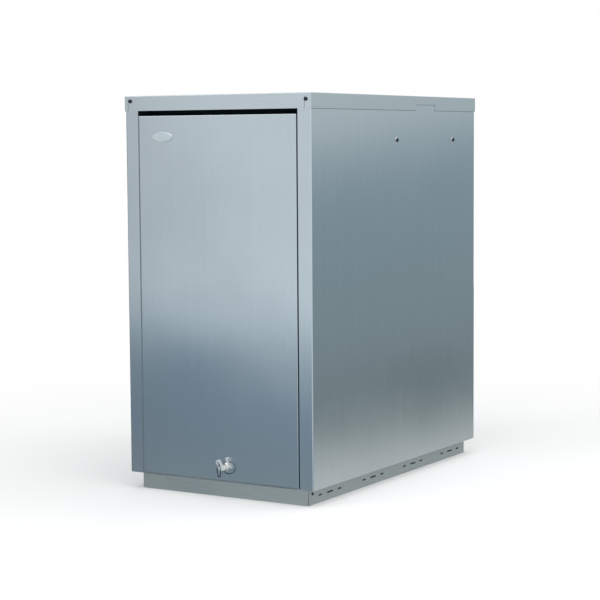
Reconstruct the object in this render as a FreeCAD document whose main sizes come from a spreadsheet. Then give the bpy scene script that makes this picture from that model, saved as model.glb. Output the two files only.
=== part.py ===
import FreeCAD, Part
import math
import os
import re
import Sketcher
from FreeCAD import Placement, Rotation, Vector

# A cased gas pool heater. Frame: +Z up, X across the case, +Y from the front (the door side) to the
# rear. The origin is on the ground, under the middle of the case. Lengths in millimetres.
VALUES = {
    # Case, plinth and lid
    "case_width": 490, "case_depth": 800, "case_height": 900,
    "skin": 1.2, "thick": 1.5, "bend": 2, "stile_width": 34, "reveal_depth": 20, "return_width": 26,
    "plinth_height": 38, "plinth_side_inset": 23, "plinth_front_inset": 16, "plinth_rear_inset": 10,
    "plinth_flange": 26, "plinth_seam": 3, "slot_length": 26, "slot_short": 15, "slot_height": 3.5,
    "slot_level": 17, "slot_first": 111, "slot_group_pitch": 199, "slot_pitch": 43,
    "lid_gap": 0.3, "lid_flange": 33.5, "notch_start": 482, "notch_end": 580, "notch_height": 13.5,
    "tab_right": 229.2, "tab_left": -236.8, "tab_slit": 1, "slit_top": 892,
    "split_level": 427, "lap": 24, "window_left": -226, "window_right": -80, "window_low": 64,
    "window_high": 392,
    # Screws of the case
    "screw_hole": 2.1, "left_tab_x": -230.8, "left_tab_z": 888.5, "right_tab_x": 232.8, "right_tab_z": 886.4,
    "side_screw_z": 797, "side_screw_front": -12, "side_screw_rear": 279, "rear_screw_x": 232,
    "lid_rear_z": 880, "corner_screw_in": 19, "corner_screw_z": 24.5,
    # Door
    "door_gap": 3, "door_shift": -0.8, "door_top": 855, "door_depth": 18, "door_lip": 15, "edge_round": 1,
    "badge_x": -144.3, "badge_z": 807, "badge_long": 27.2, "badge_short": 11, "badge_thick": 1.5,
    "rod_y": -366, "rod_z": 846, "rod_radius": 4, "hook_x": 150, "hook_radius": 9, "running": 0.05,
    # Lock
    "lock_x": 16.2, "lock_z": 71.5, "bezel_radius": 10, "barrel_radius": 8.4, "plug_radius": 6.4,
    "tail": 8, "cam_length": 26, "cam_y": -375, "key_thick": 2.2, "key_tilt": -25, "bow_y": -418,
    "bow_deep": 18, "bow_low": -6, "bow_high": 20, "bow_corner": 5, "hole_y": -421, "hole_radius": 3,
    "hole_low": 8.5, "hole_high": 13.5, "ring_radius": 13.5, "ring_wire": 1.1, "ring_x": 12.73,
    "ring_z": 79.32, "ring_turn": 40,
    # Drum, burner and fan
    "drum_z": 560, "drum_radius": 150, "drum_front": -140, "drum_rear": 140, "drum_wall": 2,
    "cradle_low": 380, "cradle_front": -20, "cradle_rear": 50,
    "burner_radius": 35, "burner_end": 60, "door_plate": 16, "neck_radius": 24, "neck_y": -215,
    "spark_x": 80, "spark_z": 585,
    "fan_x": -53, "fan_z": 700, "fan_radius": 75, "fan_front": -245, "fan_rear": -185, "fan_wall": 3,
    "wheel_radius": 60, "wheel_hub": 14, "shaft_radius": 4, "motor_radius": 42, "motor_length": 60,
    # Water side
    "plate_x": -120, "plate_front": -160, "plate_rear": -60, "plate_low": 70, "plate_high": 400,
    "port_low": 110, "port_high": 350, "copper_radius": 11, "copper_wall": 1.2, "copper_bend": 22,
    "pump_x": 120, "pump_y": -100, "pump_z": 385, "pump_radius": 46, "pool_radius": 25,
    "pool_wall": 3, "spigot_z": 440, "spigot_x": 120, "vessel_z": 170, "vessel_radius": 100,
    # Gas side
    "gas_x": -205, "gas_z": 360, "gas_radius": 11, "thread_radius": 13.2, "valve_x": -162,
    "valve_y": -186, "cock_y": 320,
    # Flue and condensate
    "flue_radius": 50, "flue_wall": 2.5, "flue_bend": 62, "flue_z": 740, "flue_y": 230, "terminal_radius": 55,
    "rear_reach": 436, "waste_radius": 10.75, "waste_z": 90, "trap_y": 100,
    "trap_low": 262, "trap_high": 380, "trap_out": 330,
    # Controls
    "box_half": 185, "box_front": -330, "box_rear": -225, "box_low": 785, "box_high": 875,
    "control_z": 830, "knob_x": -125, "knob_radius": 21, "gauge_x": -50, "gauge_radius": 26,
    "lamp_x": 15, "button_x": 60, "button_radius": 7, "switch_x": 120, "gland_x": 200, "gland_z": 380,
}

doc = FreeCAD.newDocument("GasPoolHeater")
dims = doc.addObject("Spreadsheet::Sheet", "dims")
for row, (alias, number) in enumerate(VALUES.items(), start=1):
    dims.set(f"A{row}", str(number))
    dims.setAlias(f"A{row}", alias)
doc.recompute()

nodes = {}
TURN = {
    "x": Rotation(Vector(0, 0, 1), Vector(1, 0, 0)), "-x": Rotation(Vector(0, 0, 1), Vector(-1, 0, 0)),
    "y": Rotation(Vector(0, 0, 1), Vector(0, 1, 0)), "-y": Rotation(Vector(0, 0, 1), Vector(0, -1, 0)),
    "z": Rotation(), "-z": Rotation(Vector(0, 0, 1), Vector(0, 0, -1)),
}
# Which way a sketch plane's own normal points along the axis that it is square to.
NORMAL = {"XY_Plane": 1, "XZ_Plane": -1, "YZ_Plane": 1}


def formula(text):
    """Write the sheet's name before each alias, so that sizes read as plain words."""
    def named(word):
        return "dims." + word.group() if word.group() in VALUES else word.group()
    return re.sub(r"[a-z][a-z0-9_]*", named, str(text))


def value(text):
    return float(dims.evalExpression(formula(text)))


def keep(name, piece):
    """Register a finished sub-part under its node name."""
    piece.Label = name
    nodes[name] = piece
    return piece


# Part primitives -------------------------------------------------------------------------------

def put(piece, start):
    for side, place in zip("xyz", start):
        piece.setExpression(f"Placement.Base.{side}", formula(place))
    return piece


def block(x, y, z):
    """A box between a low and a high limit along each axis."""
    piece = doc.addObject("Part::Box", "block")
    for size, (low, high) in zip(("Length", "Width", "Height"), (x, y, z)):
        piece.setExpression(size, formula(f"({high}) - ({low})"))
    return put(piece, (x[0], y[0], z[0]))


def rod(axis, start, radius, length):
    """A cylinder from its start point along an axis."""
    piece = doc.addObject("Part::Cylinder", "rod")
    piece.Placement = Placement(Vector(), TURN[axis])
    piece.setExpression("Radius", formula(radius))
    piece.setExpression("Height", formula(length))
    return put(piece, start)


def taper(axis, start, radius, end_radius, length):
    piece = doc.addObject("Part::Cone", "taper")
    piece.Placement = Placement(Vector(), TURN[axis])
    piece.setExpression("Radius1", formula(radius))
    piece.setExpression("Radius2", formula(end_radius))
    piece.setExpression("Height", formula(length))
    return put(piece, start)


def ball(centre, radius):
    piece = doc.addObject("Part::Sphere", "ball")
    piece.setExpression("Radius", formula(radius))
    return put(piece, centre)


def hexagon(axis, start, across_corners, length):
    piece = doc.addObject("Part::Prism", "hexagon")
    piece.Placement = Placement(Vector(), TURN[axis])
    piece.Polygon = 6
    piece.setExpression("Circumradius", formula(across_corners))
    piece.setExpression("Height", formula(length))
    return put(piece, start)


def fuse(*pieces):
    whole = doc.addObject("Part::MultiFuse", "fuse")
    whole.Shapes = list(pieces)
    whole.Refine = True
    return whole


def group(*pieces):
    """Separate solids that share a node, such as identical fasteners."""
    whole = doc.addObject("Part::Compound", "group")
    whole.Links = list(pieces)
    return whole


def cut(base, *tools):
    piece = doc.addObject("Part::Cut", "cut")
    piece.Base = base
    piece.Tool = tools[0] if len(tools) == 1 else fuse(*tools)
    return piece


def round_edges(base, radius, chosen):
    """Round the edges of a finished solid that the test picks."""
    doc.recompute()
    piece = doc.addObject("Part::Fillet", "rounded")
    piece.Base = base
    size = value(radius)
    piece.Edges = [(i, size, size) for i, edge in enumerate(base.Shape.Edges, start=1) if chosen(edge)]
    return piece


def within(edge, side, place):
    """Whether an edge lies wholly at one place along an axis."""
    box = edge.BoundBox
    low, high = {"x": (box.XMin, box.XMax), "y": (box.YMin, box.YMax), "z": (box.ZMin, box.ZMax)}[side]
    return abs(low - value(place)) < 0.01 and abs(high - value(place)) < 0.01


def pipe(points, radius, wall, bend="copper_bend"):
    """A round pipe: straight runs joined by tangent arcs, bored to leave its wall."""
    corners = [Vector(*map(value, point)) for point in points]
    outer, bore, arc = value(radius), value(radius) - value(wall), value(bend)
    edges = []
    last = corners[0]
    for before, corner, after in zip(corners, corners[1:], corners[2:]):
        back = (before - corner).normalize()
        ahead = (after - corner).normalize()
        reach = arc / math.tan(back.getAngle(ahead) / 2)
        start = corner + back * reach
        end = corner + ahead * reach
        centre = corner + (back + ahead).normalize() * math.hypot(reach, arc)
        middle = centre + (corner - centre).normalize() * arc
        edges.append(Part.makeLine(last, start))
        edges.append(Part.Arc(start, middle, end).toShape())
        last = end
    edges.append(Part.makeLine(last, corners[-1]))
    path = Part.Wire(edges)

    def sweep(size):
        ring = Part.Wire(Part.makeCircle(size, corners[0], corners[1] - corners[0]))
        return path.makePipeShell([ring], True, False)

    piece = doc.addObject("Part::Feature", "pipe")
    piece.Shape = sweep(outer).cut(sweep(bore))
    piece.Placement = Placement()
    expected = math.pi * (outer ** 2 - bore ** 2) * path.Length
    if abs(piece.Shape.Volume - expected) > 0.01 * expected:
        raise SystemExit("a pipe has lost volume")
    return piece


# PartDesign bodies -----------------------------------------------------------------------------

def new_body(name):
    return doc.addObject("PartDesign::Body", name)


def rectangle(low_u, high_u, low_v, high_v):
    return [(low_u, low_v), (high_u, low_v), (high_u, high_v), (low_u, high_v)]


def draw_outline(sketch, points):
    """A closed outline whose corners are bound to the sheet."""
    places = [Vector(value(u), value(v), 0) for u, v in points]
    first = sketch.GeometryCount
    count = len(points)
    for i in range(count):
        sketch.addGeometry(Part.LineSegment(places[i], places[(i + 1) % count]), False)
    for i in range(count):
        nearby = first + (i + 1) % count
        sketch.addConstraint(Sketcher.Constraint("Coincident", first + i, 2, nearby, 1))
    for i, (u, v) in enumerate(points):
        bind_point(sketch, first + i, 1, u, v)


def bind_point(sketch, element, end, u, v):
    for kind, size in (("DistanceX", u), ("DistanceY", v)):
        row = sketch.addConstraint(Sketcher.Constraint(kind, -1, 1, element, end, value(size)))
        sketch.setExpression(f"Constraints[{row}]", formula(size))


def draw_circle(sketch, u, v, radius):
    centre = Vector(value(u), value(v), 0)
    element = sketch.addGeometry(Part.Circle(centre, Vector(0, 0, 1), value(radius)))
    row = sketch.addConstraint(Sketcher.Constraint("Radius", element, value(radius)))
    sketch.setExpression(f"Constraints[{row}]", formula(radius))
    bind_point(sketch, element, 3, u, v)


def draw_slot(sketch, u, v, length, height):
    """A round-ended slot along the sketch's first axis."""
    radius = value(height) / 2
    reach = value(length) / 2 - radius
    middle = Vector(value(u), value(v), 0)
    centres = [middle - Vector(reach, 0, 0), middle + Vector(reach, 0, 0)]
    rise = Vector(0, radius, 0)
    turn = math.pi / 2
    circles = [Part.Circle(centre, Vector(0, 0, 1), radius) for centre in centres]
    left = sketch.addGeometry(Part.ArcOfCircle(circles[0], turn, 3 * turn), False)
    low = sketch.addGeometry(Part.LineSegment(centres[0] - rise, centres[1] - rise), False)
    right = sketch.addGeometry(Part.ArcOfCircle(circles[1], -turn, turn), False)
    high = sketch.addGeometry(Part.LineSegment(centres[1] + rise, centres[0] + rise), False)
    for first, second in ((left, low), (low, right), (right, high), (high, left)):
        sketch.addConstraint(Sketcher.Constraint("Tangent", first, 2, second, 1))
    for arc, sign in ((left, "-"), (right, "+")):
        bind_point(sketch, arc, 3, f"{u} {sign} ({length} - {height})/2", v)
    row = sketch.addConstraint(Sketcher.Constraint("Radius", left, radius))
    sketch.setExpression(f"Constraints[{row}]", formula(f"{height}/2"))


def new_sketch(body, role, at, loops):
    """A sketch on one of the body's origin planes, moved to a place along the axis square to it."""
    sketch = body.newObject("Sketcher::SketchObject", "sketch")
    origin_plane = next(item for item in body.Origin.OriginFeatures if item.Role == role)
    sketch.AttachmentSupport = [(origin_plane, "")]
    sketch.MapMode = "FlatFace"
    sketch.setExpression("AttachmentOffset.Base.z", formula(f"{NORMAL[role]}*({at})"))
    for loop in loops:
        if isinstance(loop, list):
            draw_outline(sketch, loop)
        elif len(loop) == 3:
            draw_circle(sketch, *loop)
        else:
            draw_slot(sketch, *loop)
    return sketch


def pad(body, role, at, length, loops):
    """Extrude towards the front from an XZ plane, up from an XY plane, to +X from a YZ plane."""
    feature = body.newObject("PartDesign::Pad", "pad")
    feature.Profile = new_sketch(body, role, at, loops)
    feature.setExpression("Length", formula(length))
    return feature


def pocket(body, role, at, length, loops):
    """Cut the other way: towards the rear from an XZ plane, down from XY, to -X from YZ."""
    doc.recompute()
    before = body.Shape.Volume
    feature = body.newObject("PartDesign::Pocket", "pocket")
    feature.Profile = new_sketch(body, role, at, loops)
    feature.setExpression("Length", formula(length))
    doc.recompute()
    if before - body.Shape.Volume < 0.1:
        raise SystemExit(f"a pocket of {body.Name} cuts nothing")
    return feature


def revolve(body, role, loops, axis="V_Axis"):
    feature = body.newObject("PartDesign::Revolution", "revolution")
    feature.Profile = new_sketch(body, role, "0", loops)
    feature.ReferenceAxis = (feature.Profile[0], [axis])
    feature.Angle = 360
    return feature


def soften(body, radius, chosen):
    """Fillet the edges of the body's last feature that the test picks."""
    doc.recompute()
    last = body.Tip
    feature = body.newObject("PartDesign::Fillet", "fillet")
    names = [f"Edge{i}" for i, edge in enumerate(last.Shape.Edges, start=1) if chosen(edge)]
    feature.Base = (last, names)
    feature.setExpression("Radius", formula(radius))
    doc.recompute()
    return feature


# Fasteners -------------------------------------------------------------------------------------

def pan_screw(axis, start, head=4.2, shank=2, length=9):
    """A cross-recess pan-head screw on a face; the axis points out of the face."""
    height = 0.5 * head
    crown = doc.addObject("Part::Fillet", "crown")
    crown.Base = rod(axis, start, head, height)
    crown.Edges = [(3, 0.35 * head, 0.35 * head)]
    inward = axis[1:] if axis.startswith("-") else "-" + axis
    bars = [recess_bar(axis, start, 0.3 * height, *half) for half in ((0.5 * head, 0.4), (0.4, 0.5 * head))]
    return fuse(cut(crown, *bars), rod(inward, start, shank, length))


def recess_bar(axis, start, depth, half_wide, half_tall):
    """One bar of the cross: it runs out of the head from a little above the face."""
    spread = iter((half_wide, half_tall))
    limits = []
    for side, place in zip("xyz", start):
        if side != axis[-1]:
            half = next(spread)
            limits.append((f"{place} - {half}", f"{place} + {half}"))
        elif axis.startswith("-"):
            limits.append((f"{place} - 5", f"{place} - {depth}"))
        else:
            limits.append((f"{place} + {depth}", f"{place} + 5"))
    return block(*limits)


# Case ------------------------------------------------------------------------------------------

def make_plinth():
    """Four channel strips under the case; the long ones are slotted in groups of three."""
    front, rear = "-case_depth/2 + plinth_front_inset", "case_depth/2 - plinth_rear_inset"
    side = "case_width/2 - plinth_side_inset"
    slots = [(f"-case_depth/2 + slot_first + {group}*slot_group_pitch + {step}*slot_pitch", "slot_level",
              "slot_short" if step else "slot_length", "slot_height")
             for group in range(4) for step in (-1, 0, 1)]
    hole = (f"{front} + corner_screw_in", "corner_screw_z", "1.6")
    for name, sign in (("plinth_left", "-"), ("plinth_right", "")):
        body = new_body(name)
        outer, inner, web = f"{sign}({side})", f"{sign}({side} - plinth_flange)", f"{sign}({side} - thick)"
        channel = [(outer, "0"), (outer, "plinth_height"), (inner, "plinth_height"),
                   (inner, "plinth_height - thick"), (web, "plinth_height - thick"), (web, "thick"),
                   (inner, "thick"), (inner, "0")]
        pad(body, "XZ_Plane", f"{rear} - thick", f"({rear}) - ({front}) - thick - plinth_seam", [channel])
        pocket(body, "YZ_Plane", "case_width/2" if sign == "" else "0", "case_width/2", slots + [hole])
        keep(name, body)
    for name, face, sign in (("plinth_front", front, 1), ("plinth_rear", rear, -1)):
        body = new_body(name)
        inner = f"{face} + {sign}*plinth_flange"
        web = f"{face} + {sign}*thick"
        channel = [(face, "0"), (face, "plinth_height"), (inner, "plinth_height"),
                   (inner, "plinth_height - thick"), (web, "plinth_height - thick"), (web, "thick"),
                   (inner, "thick"), (inner, "0")]
        pad(body, "YZ_Plane", f"-({side}) + plinth_flange", f"2*({side} - plinth_flange)", [channel])
        reach = f"{side} - (1 + {sign})/2*plinth_seam/2"
        low, high = sorted((face, web), key=value)
        pad(body, "XY_Plane", "0", "plinth_height", [rectangle(f"-({side})", reach, low, high)])
        keep(name, body)


def make_base_tray():
    """The floor of the case; its front edge turns up into the lip that the lock's cam catches."""
    front = "cam_y - 3"
    floor = block(("-case_width/2 + skin + 0.4", "case_width/2 - skin - 0.4"), (front, "case_depth/2 - 5"),
                  ("plinth_height", "plinth_height + thick"))
    lip = block(("-case_width/2 + skin + 0.4", "case_width/2 - skin - 0.4"), (front, f"{front} + thick"),
                ("plinth_height", "plinth_height + 20"))
    keep("base_tray", fuse(floor, lip))


def rear_screw_places():
    """Screws of the lower cover, of the upper panel and of the lid's rear flange."""
    rows = (("62", "240", "split_level - lap/2"), ("split_level + lap", "655", "850"), ("lid_rear_z",))
    return [[(x, z) for z in levels for x in ("-rear_screw_x", "rear_screw_x")] for levels in rows]


def make_side_panels():
    """Each side wraps round the front as the door's stile, and round the rear as a return."""
    rear_holes = [hole for holes in rear_screw_places() for hole in holes]
    for name, sign, tab in (("side_panel_left", "-", "left_tab"), ("side_panel_right", "", "right_tab")):
        body = new_body(name)
        half, front, rear = "case_width/2", "-case_depth/2", "case_depth/2"

        def x(inset):
            return f"{sign}({half} - ({inset}))"
        wrap = [(x("0"), front), (x("0"), rear), (x("return_width"), rear),
                (x("return_width"), f"{rear} - skin"), (x("skin"), f"{rear} - skin"),
                (x("skin"), f"{front} + skin"), (x("stile_width - skin"), f"{front} + skin"),
                (x("stile_width - skin"), f"{front} + reveal_depth"),
                (x("stile_width"), f"{front} + reveal_depth"), (x("stile_width"), front)]
        top = "case_height - skin"
        pad(body, "XY_Plane", "plinth_height", f"{top} - plinth_height", [wrap])
        soften(body, "bend", lambda edge: within(edge, "x", x("0")) and
               (within(edge, "y", front) or within(edge, "y", rear)))
        inner, outer = sorted((x("22"), x("skin")), key=value)
        pad(body, "XY_Plane", f"{top} - skin", "skin",
            [rectangle(inner, outer, f"{front} + skin", f"{rear} - skin")])
        own_holes = [(place, z, "screw_hole") for place, z in rear_holes
                     if place.startswith("-") == (sign == "-")]
        pocket(body, "XZ_Plane", f"{rear} - 5", "10", own_holes)
        pocket(body, "XZ_Plane", f"{front} - 1", "5", [(f"{tab}_x", f"{tab}_z", "screw_hole")])
        side_at = f"{half} + 1" if sign == "" else f"-{half} + 3"
        pocket(body, "YZ_Plane", side_at, "5",
               [(y, "side_screw_z", "screw_hole") for y in ("side_screw_front", "side_screw_rear")])
        keep(name, body)


def make_rear_panels():
    """The upper panel sits inside the side returns; four plates outside them frame the pipes' window."""
    low, high, lid = rear_screw_places()
    upper = new_body("rear_panel_upper")
    inside = "case_depth/2 - 1.4"
    loops = [rectangle("-case_width/2 + 1.6", "case_width/2 - 1.6", "split_level - lap", "case_height - 3")]
    loops += [(x, z, "screw_hole") for x, z in high + lid + low[4:]] + [("0", "flue_z", "flue_radius + 0.5")]
    pad(upper, "XZ_Plane", inside, "skin", loops)
    keep("rear_panel_upper", upper)
    y = ("case_depth/2 + 0.3", "case_depth/2 + 0.3 + thick")
    left, right, bottom = "-case_width/2 + 1", "case_width/2 - 1", "plinth_height + 2"
    left_plate = block((left, "window_left"), y, (bottom, "split_level"))
    right_plate = block(("window_right", right), y, (bottom, "split_level"))
    sill = block(("window_left", "window_right"), y, (bottom, "window_low"))
    head = block(("window_left", "window_right"), y, ("window_high", "split_level"))
    holes = {"left": [], "right": []}
    for place, z in low:
        side = "left" if place.startswith("-") else "right"
        holes[side].append(rod("y", (place, "case_depth/2 - 1", z), "screw_hole", "5"))
    for place, z, radius in (("0", "waste_z", "waste_radius + 1.5"), ("gland_x", "gland_z", "8.2")):
        holes["right"].append(rod("y", (place, "case_depth/2 - 1", z), radius, "5"))
    sides = cut(left_plate, *holes["left"]), cut(right_plate, *holes["right"])
    keep("rear_panel_lower", group(*sides, sill, head))


def make_lid():
    """A shallow tray turned over the case: wrapped front corners, one notch in the right flange."""
    body = new_body("lid")
    x, y = "case_width/2 + skin + lid_gap", "case_depth/2 + skin + lid_gap"
    floor = "case_height - lid_flange"
    pad(body, "XY_Plane", floor, "lid_flange", [rectangle(f"-({x})", x, f"-({y})", y)])
    soften(body, "edge_round", lambda edge: within(edge, "z", "case_height"))
    inner_x, inner_y = f"{x} - skin", f"{y} - skin"
    pocket(body, "XY_Plane", "case_height - skin", "lid_flange",
           [rectangle(f"-({inner_x})", inner_x, f"-({inner_y})", inner_y)])
    pocket(body, "YZ_Plane", f"{x} + 1", "5",
           [rectangle("-case_depth/2 + notch_start", "-case_depth/2 + notch_end", f"{floor} - 1",
                      f"{floor} + notch_height")])
    slits = [rectangle(f"{tab} - tab_slit/2", f"{tab} + tab_slit/2", f"{floor} - 1", "slit_top")
             for tab in ("tab_left", "tab_right")]
    pocket(body, "XZ_Plane", f"-({y}) - 1", "4", slits)
    pocket(body, "XZ_Plane", f"-({y}) - 1", "4",
           [(f"{tab}_x", f"{tab}_z", "screw_hole") for tab in ("left_tab", "right_tab")])
    pocket(body, "XZ_Plane", f"{y} - 3", "5",
           [(x_at, "lid_rear_z", "screw_hole") for x_at in ("-rear_screw_x", "rear_screw_x")])
    keep("lid", body)


def make_header_rail():
    """The bar over the door, with a cheek at each end that carries the hook rod."""
    front, rear = "rod_y - 12", "rod_y + 26"
    ceiling = "case_height - skin - skin"
    top = block(("-case_width/2 + 2", "case_width/2 - 2"), (front, rear), (f"{ceiling} - thick", ceiling))
    lip = block(("-case_width/2 + 2", "case_width/2 - 2"), (f"{rear} - thick", rear), ("872", ceiling))
    cheeks = [block(sorted((f"{sign}213", f"{sign}214.5"), key=value), (front, rear), ("rod_z - 12", ceiling))
              for sign in ("-", "")]
    bore = rod("x", ("-230", "rod_y", "rod_z"), "rod_radius + 0.02", "460")
    keep("header_rail", cut(fuse(top, lip, *cheeks), bore))
    keep("hook_rod", rod("x", ("-220", "rod_y", "rod_z"), "rod_radius", "440"))


def make_case_screws():
    low, high, lid = rear_screw_places()
    face = "case_depth/2 + skin + lid_gap"
    keep("lid_screws", group(
        pan_screw("-y", ("left_tab_x", f"-({face})", "left_tab_z"), 4.6),
        pan_screw("-y", ("right_tab_x", f"-({face})", "right_tab_z"), 4.6),
        *[pan_screw("y", (x, face, z)) for x, z in lid]))
    keep("side_screws", group(*[pan_screw(axis, (x, y, "side_screw_z"), 5.4)
                                for axis, x in (("-x", "-case_width/2"), ("x", "case_width/2"))
                                for y in ("side_screw_front", "side_screw_rear")]))
    keep("rear_screws", group(*[pan_screw("y", (x, "case_depth/2 + 1.8", z)) for x, z in low],
                              *[pan_screw("y", (x, "case_depth/2", z)) for x, z in high]))
    side = "case_width/2 - plinth_side_inset"
    corner_y = "-case_depth/2 + plinth_front_inset + corner_screw_in"
    keep("plinth_screws", group(*[pan_screw(axis, (x, corner_y, "corner_screw_z"), 3.2, 1.5, 6)
                                  for axis, x in (("-x", f"-({side})"), ("x", side))]))


# Door ------------------------------------------------------------------------------------------

def make_door():
    """A folded tray, hung by two hooks over the rod; its bottom swings out."""
    body = new_body("door_panel")
    half, front = "case_width/2 - stile_width - door_gap", "-case_depth/2"
    left, right = f"door_shift - ({half})", f"door_shift + ({half})"
    low, high = "plinth_height", "door_top"
    pad(body, "XZ_Plane", f"{front} + door_depth", "door_depth", [rectangle(left, right, low, high)])
    soften(body, "edge_round", lambda edge: within(edge, "y", front))
    pocket(body, "XZ_Plane", f"{front} + skin", "door_depth - 2*skin",
           [rectangle(f"{left} + skin", f"{right} - skin", f"{low} + skin", f"{high} - skin")])
    window = rectangle(f"{left} + door_lip", f"{right} - door_lip", f"{low} + door_lip", f"{high} - door_lip")
    pocket(body, "XZ_Plane", f"{front} + door_depth - skin - 1", "5", [window])
    pocket(body, "XZ_Plane", f"{front} - 1", "4", [("lock_x", "lock_z", "barrel_radius + 0.1")])
    keep("door_panel", body)
    hooks = []
    back = f"{front} + door_depth"
    for sign in ("-", ""):
        low_x, high_x = sorted((f"{sign}(hook_x - 2)", f"{sign}(hook_x + 2)"), key=value)
        ring = rod("x", (low_x, "rod_y", "rod_z"), "hook_radius", f"({high_x}) - ({low_x})")
        arm = block((low_x, high_x), (back, "rod_y"), ("rod_z - 9", "rod_z + hook_radius"))
        foot = block((f"{low_x} - 12", f"{high_x} + 12"), (back, f"{back} + 2"), ("rod_z - 9", "rod_z + 9"))
        eye = rod("x", (f"{low_x} - 1", "rod_y", "rod_z"), "rod_radius + running", "6")
        mouth = block((f"{low_x} - 1", f"{high_x} + 1"),
                      ("rod_y - rod_radius - running", "rod_y + rod_radius + running"),
                      ("rod_z - 12", "rod_z"))
        hooks.append(cut(fuse(ring, arm, foot), eye, mouth))
    keep("door_hooks", group(*hooks))
    disc = doc.addObject("Part::Ellipse", "badge_outline")
    disc.setExpression("MajorRadius", formula("badge_long"))
    disc.setExpression("MinorRadius", formula("badge_short"))
    disc.Placement = Placement(Vector(), Rotation(Vector(1, 0, 0), 90))
    put(disc, ("badge_x", "-case_depth/2", "badge_z"))
    plate = doc.addObject("Part::Extrusion", "badge_plate")
    plate.Base = disc
    plate.DirMode = "Custom"
    plate.Dir = Vector(0, -1, 0)
    plate.setExpression("LengthFwd", formula("badge_thick"))
    plate.Solid = True
    keep("badge", round_edges(plate, "0.6", lambda edge: within(edge, "y", "-case_depth/2 - badge_thick")))


# Lock ------------------------------------------------------------------------------------------

def turned(name, points, start, axis="-y"):
    """A body turned about its own Z from (radius, height) points, then laid along an axis."""
    body = new_body(name)
    revolve(body, "XZ_Plane", [points])
    body.Placement = Placement(Vector(), TURN[axis])
    return put(body, start)


def make_lock():
    """A cam lock: the key turns the plug and the cam a quarter turn behind the tray's lip."""
    face = "-case_depth/2"
    inside = "barrel_radius"
    bore = "plug_radius"
    barrel = turned("lock_barrel", [
        (bore, "-22"), (inside, "-22"), (inside, "0"), ("bezel_radius", "0"), ("bezel_radius", "1.6"),
        ("bezel_radius - 1.4", "3"), (f"{bore} + 1.2", "3"), (bore, "2")], ("lock_x", face, "lock_z"))
    keep("lock_barrel", barrel)
    nut = cut(hexagon("y", ("lock_x", f"{face} + skin", "lock_z"), "14", "4"),
              rod("y", ("lock_x", f"{face}", "lock_z"), "barrel_radius + 0.05", "12"))
    keep("lock_nut", nut)
    width, tall = "(key_thick/2 + 0.2)", "4.3"
    core = rod("y", ("lock_x", f"{face} - 2.4", "lock_z"), "plug_radius - running", "26.4")
    tail = block(("lock_x - tail/2", "lock_x + tail/2"), (f"{face} + 24", "cam_y + 2"),
                 ("lock_z - tail/2", "lock_z + tail/2"))
    slot = block((f"lock_x - {width}", f"lock_x + {width}"), (f"{face} - 5", f"{face} + 20"),
                 (f"lock_z - {tall}", f"lock_z + {tall}"))
    keep("lock_plug", cut(fuse(core, tail), tilt_with_key(group(slot))))
    arm = block(("lock_x - 9", "lock_x + cam_length"), ("cam_y", "cam_y + 2"), ("lock_z - 7", "lock_z + 7"))
    hole = block(("lock_x - tail/2 - running", "lock_x + tail/2 + running"), ("cam_y - 1", "cam_y + 3"),
                 ("lock_z - tail/2 - running", "lock_z + tail/2 + running"))
    head = rod("y", ("lock_x", "cam_y + 2", "lock_z"), "6", "2.5")
    keep("lock_cam", group(cut(arm, hole), head))


def tilt_with_key(piece):
    """Turn an upright piece about the lock's axis to where the key stands."""
    axis_point = Vector(value("lock_x"), 0, value("lock_z"))
    piece.Placement = Placement(Vector(), Rotation(Vector(0, 1, 0), value("key_tilt")), axis_point)
    return piece


def make_key():
    """A flat key left in the lock, with a ring hanging in its bow."""
    x = ("lock_x - key_thick/2", "lock_x + key_thick/2")
    blade = block(x, ("bow_y", "-case_depth/2 + 18"), ("lock_z - 4", "lock_z + 4"))
    collar = block(x, ("bow_y", "-case_depth/2 - 4"), ("lock_z - 5.5", "lock_z + 5.5"))
    plate = block(x, ("bow_y - bow_deep/2", "bow_y + bow_deep/2"), ("lock_z + bow_low", "lock_z + bow_high"))
    bow = round_edges(plate, "bow_corner", lambda edge: edge.BoundBox.XLength > value("key_thick") / 2)
    through = (f"{x[0]} - 1", f"{x[1]} + 1")
    hole = block(through, ("hole_y - hole_radius", "hole_y + hole_radius"),
                 ("lock_z + hole_low", "lock_z + hole_high"))
    ends = [rod("x", (f"{x[0]} - 1", "hole_y", f"lock_z + {end}"), "hole_radius", "key_thick + 2")
            for end in ("hole_low", "hole_high")]
    bits = [block(through, (f"-case_depth/2 + {at}", f"-case_depth/2 + {at + 1.6}"),
                  ("lock_z - 4.5", f"lock_z - 4 + {depth}"))
            for at, depth in ((2, 1), (5, 2), (8, 1.4), (12, 2))]
    keep("key", tilt_with_key(cut(fuse(blade, collar, bow), hole, *ends, *bits)))
    ring = doc.addObject("Part::Torus", "ring")
    ring.Placement = Placement(Vector(), Rotation(Vector(0, 0, 1), -value("ring_turn")) * TURN["y"])
    ring.setExpression("Radius1", formula("ring_radius"))
    ring.setExpression("Radius2", formula("ring_wire"))
    keep("key_ring", put(ring, ("ring_x", "hole_y", "ring_z - ring_radius")))


# Drum, burner and fan --------------------------------------------------------------------------

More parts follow.
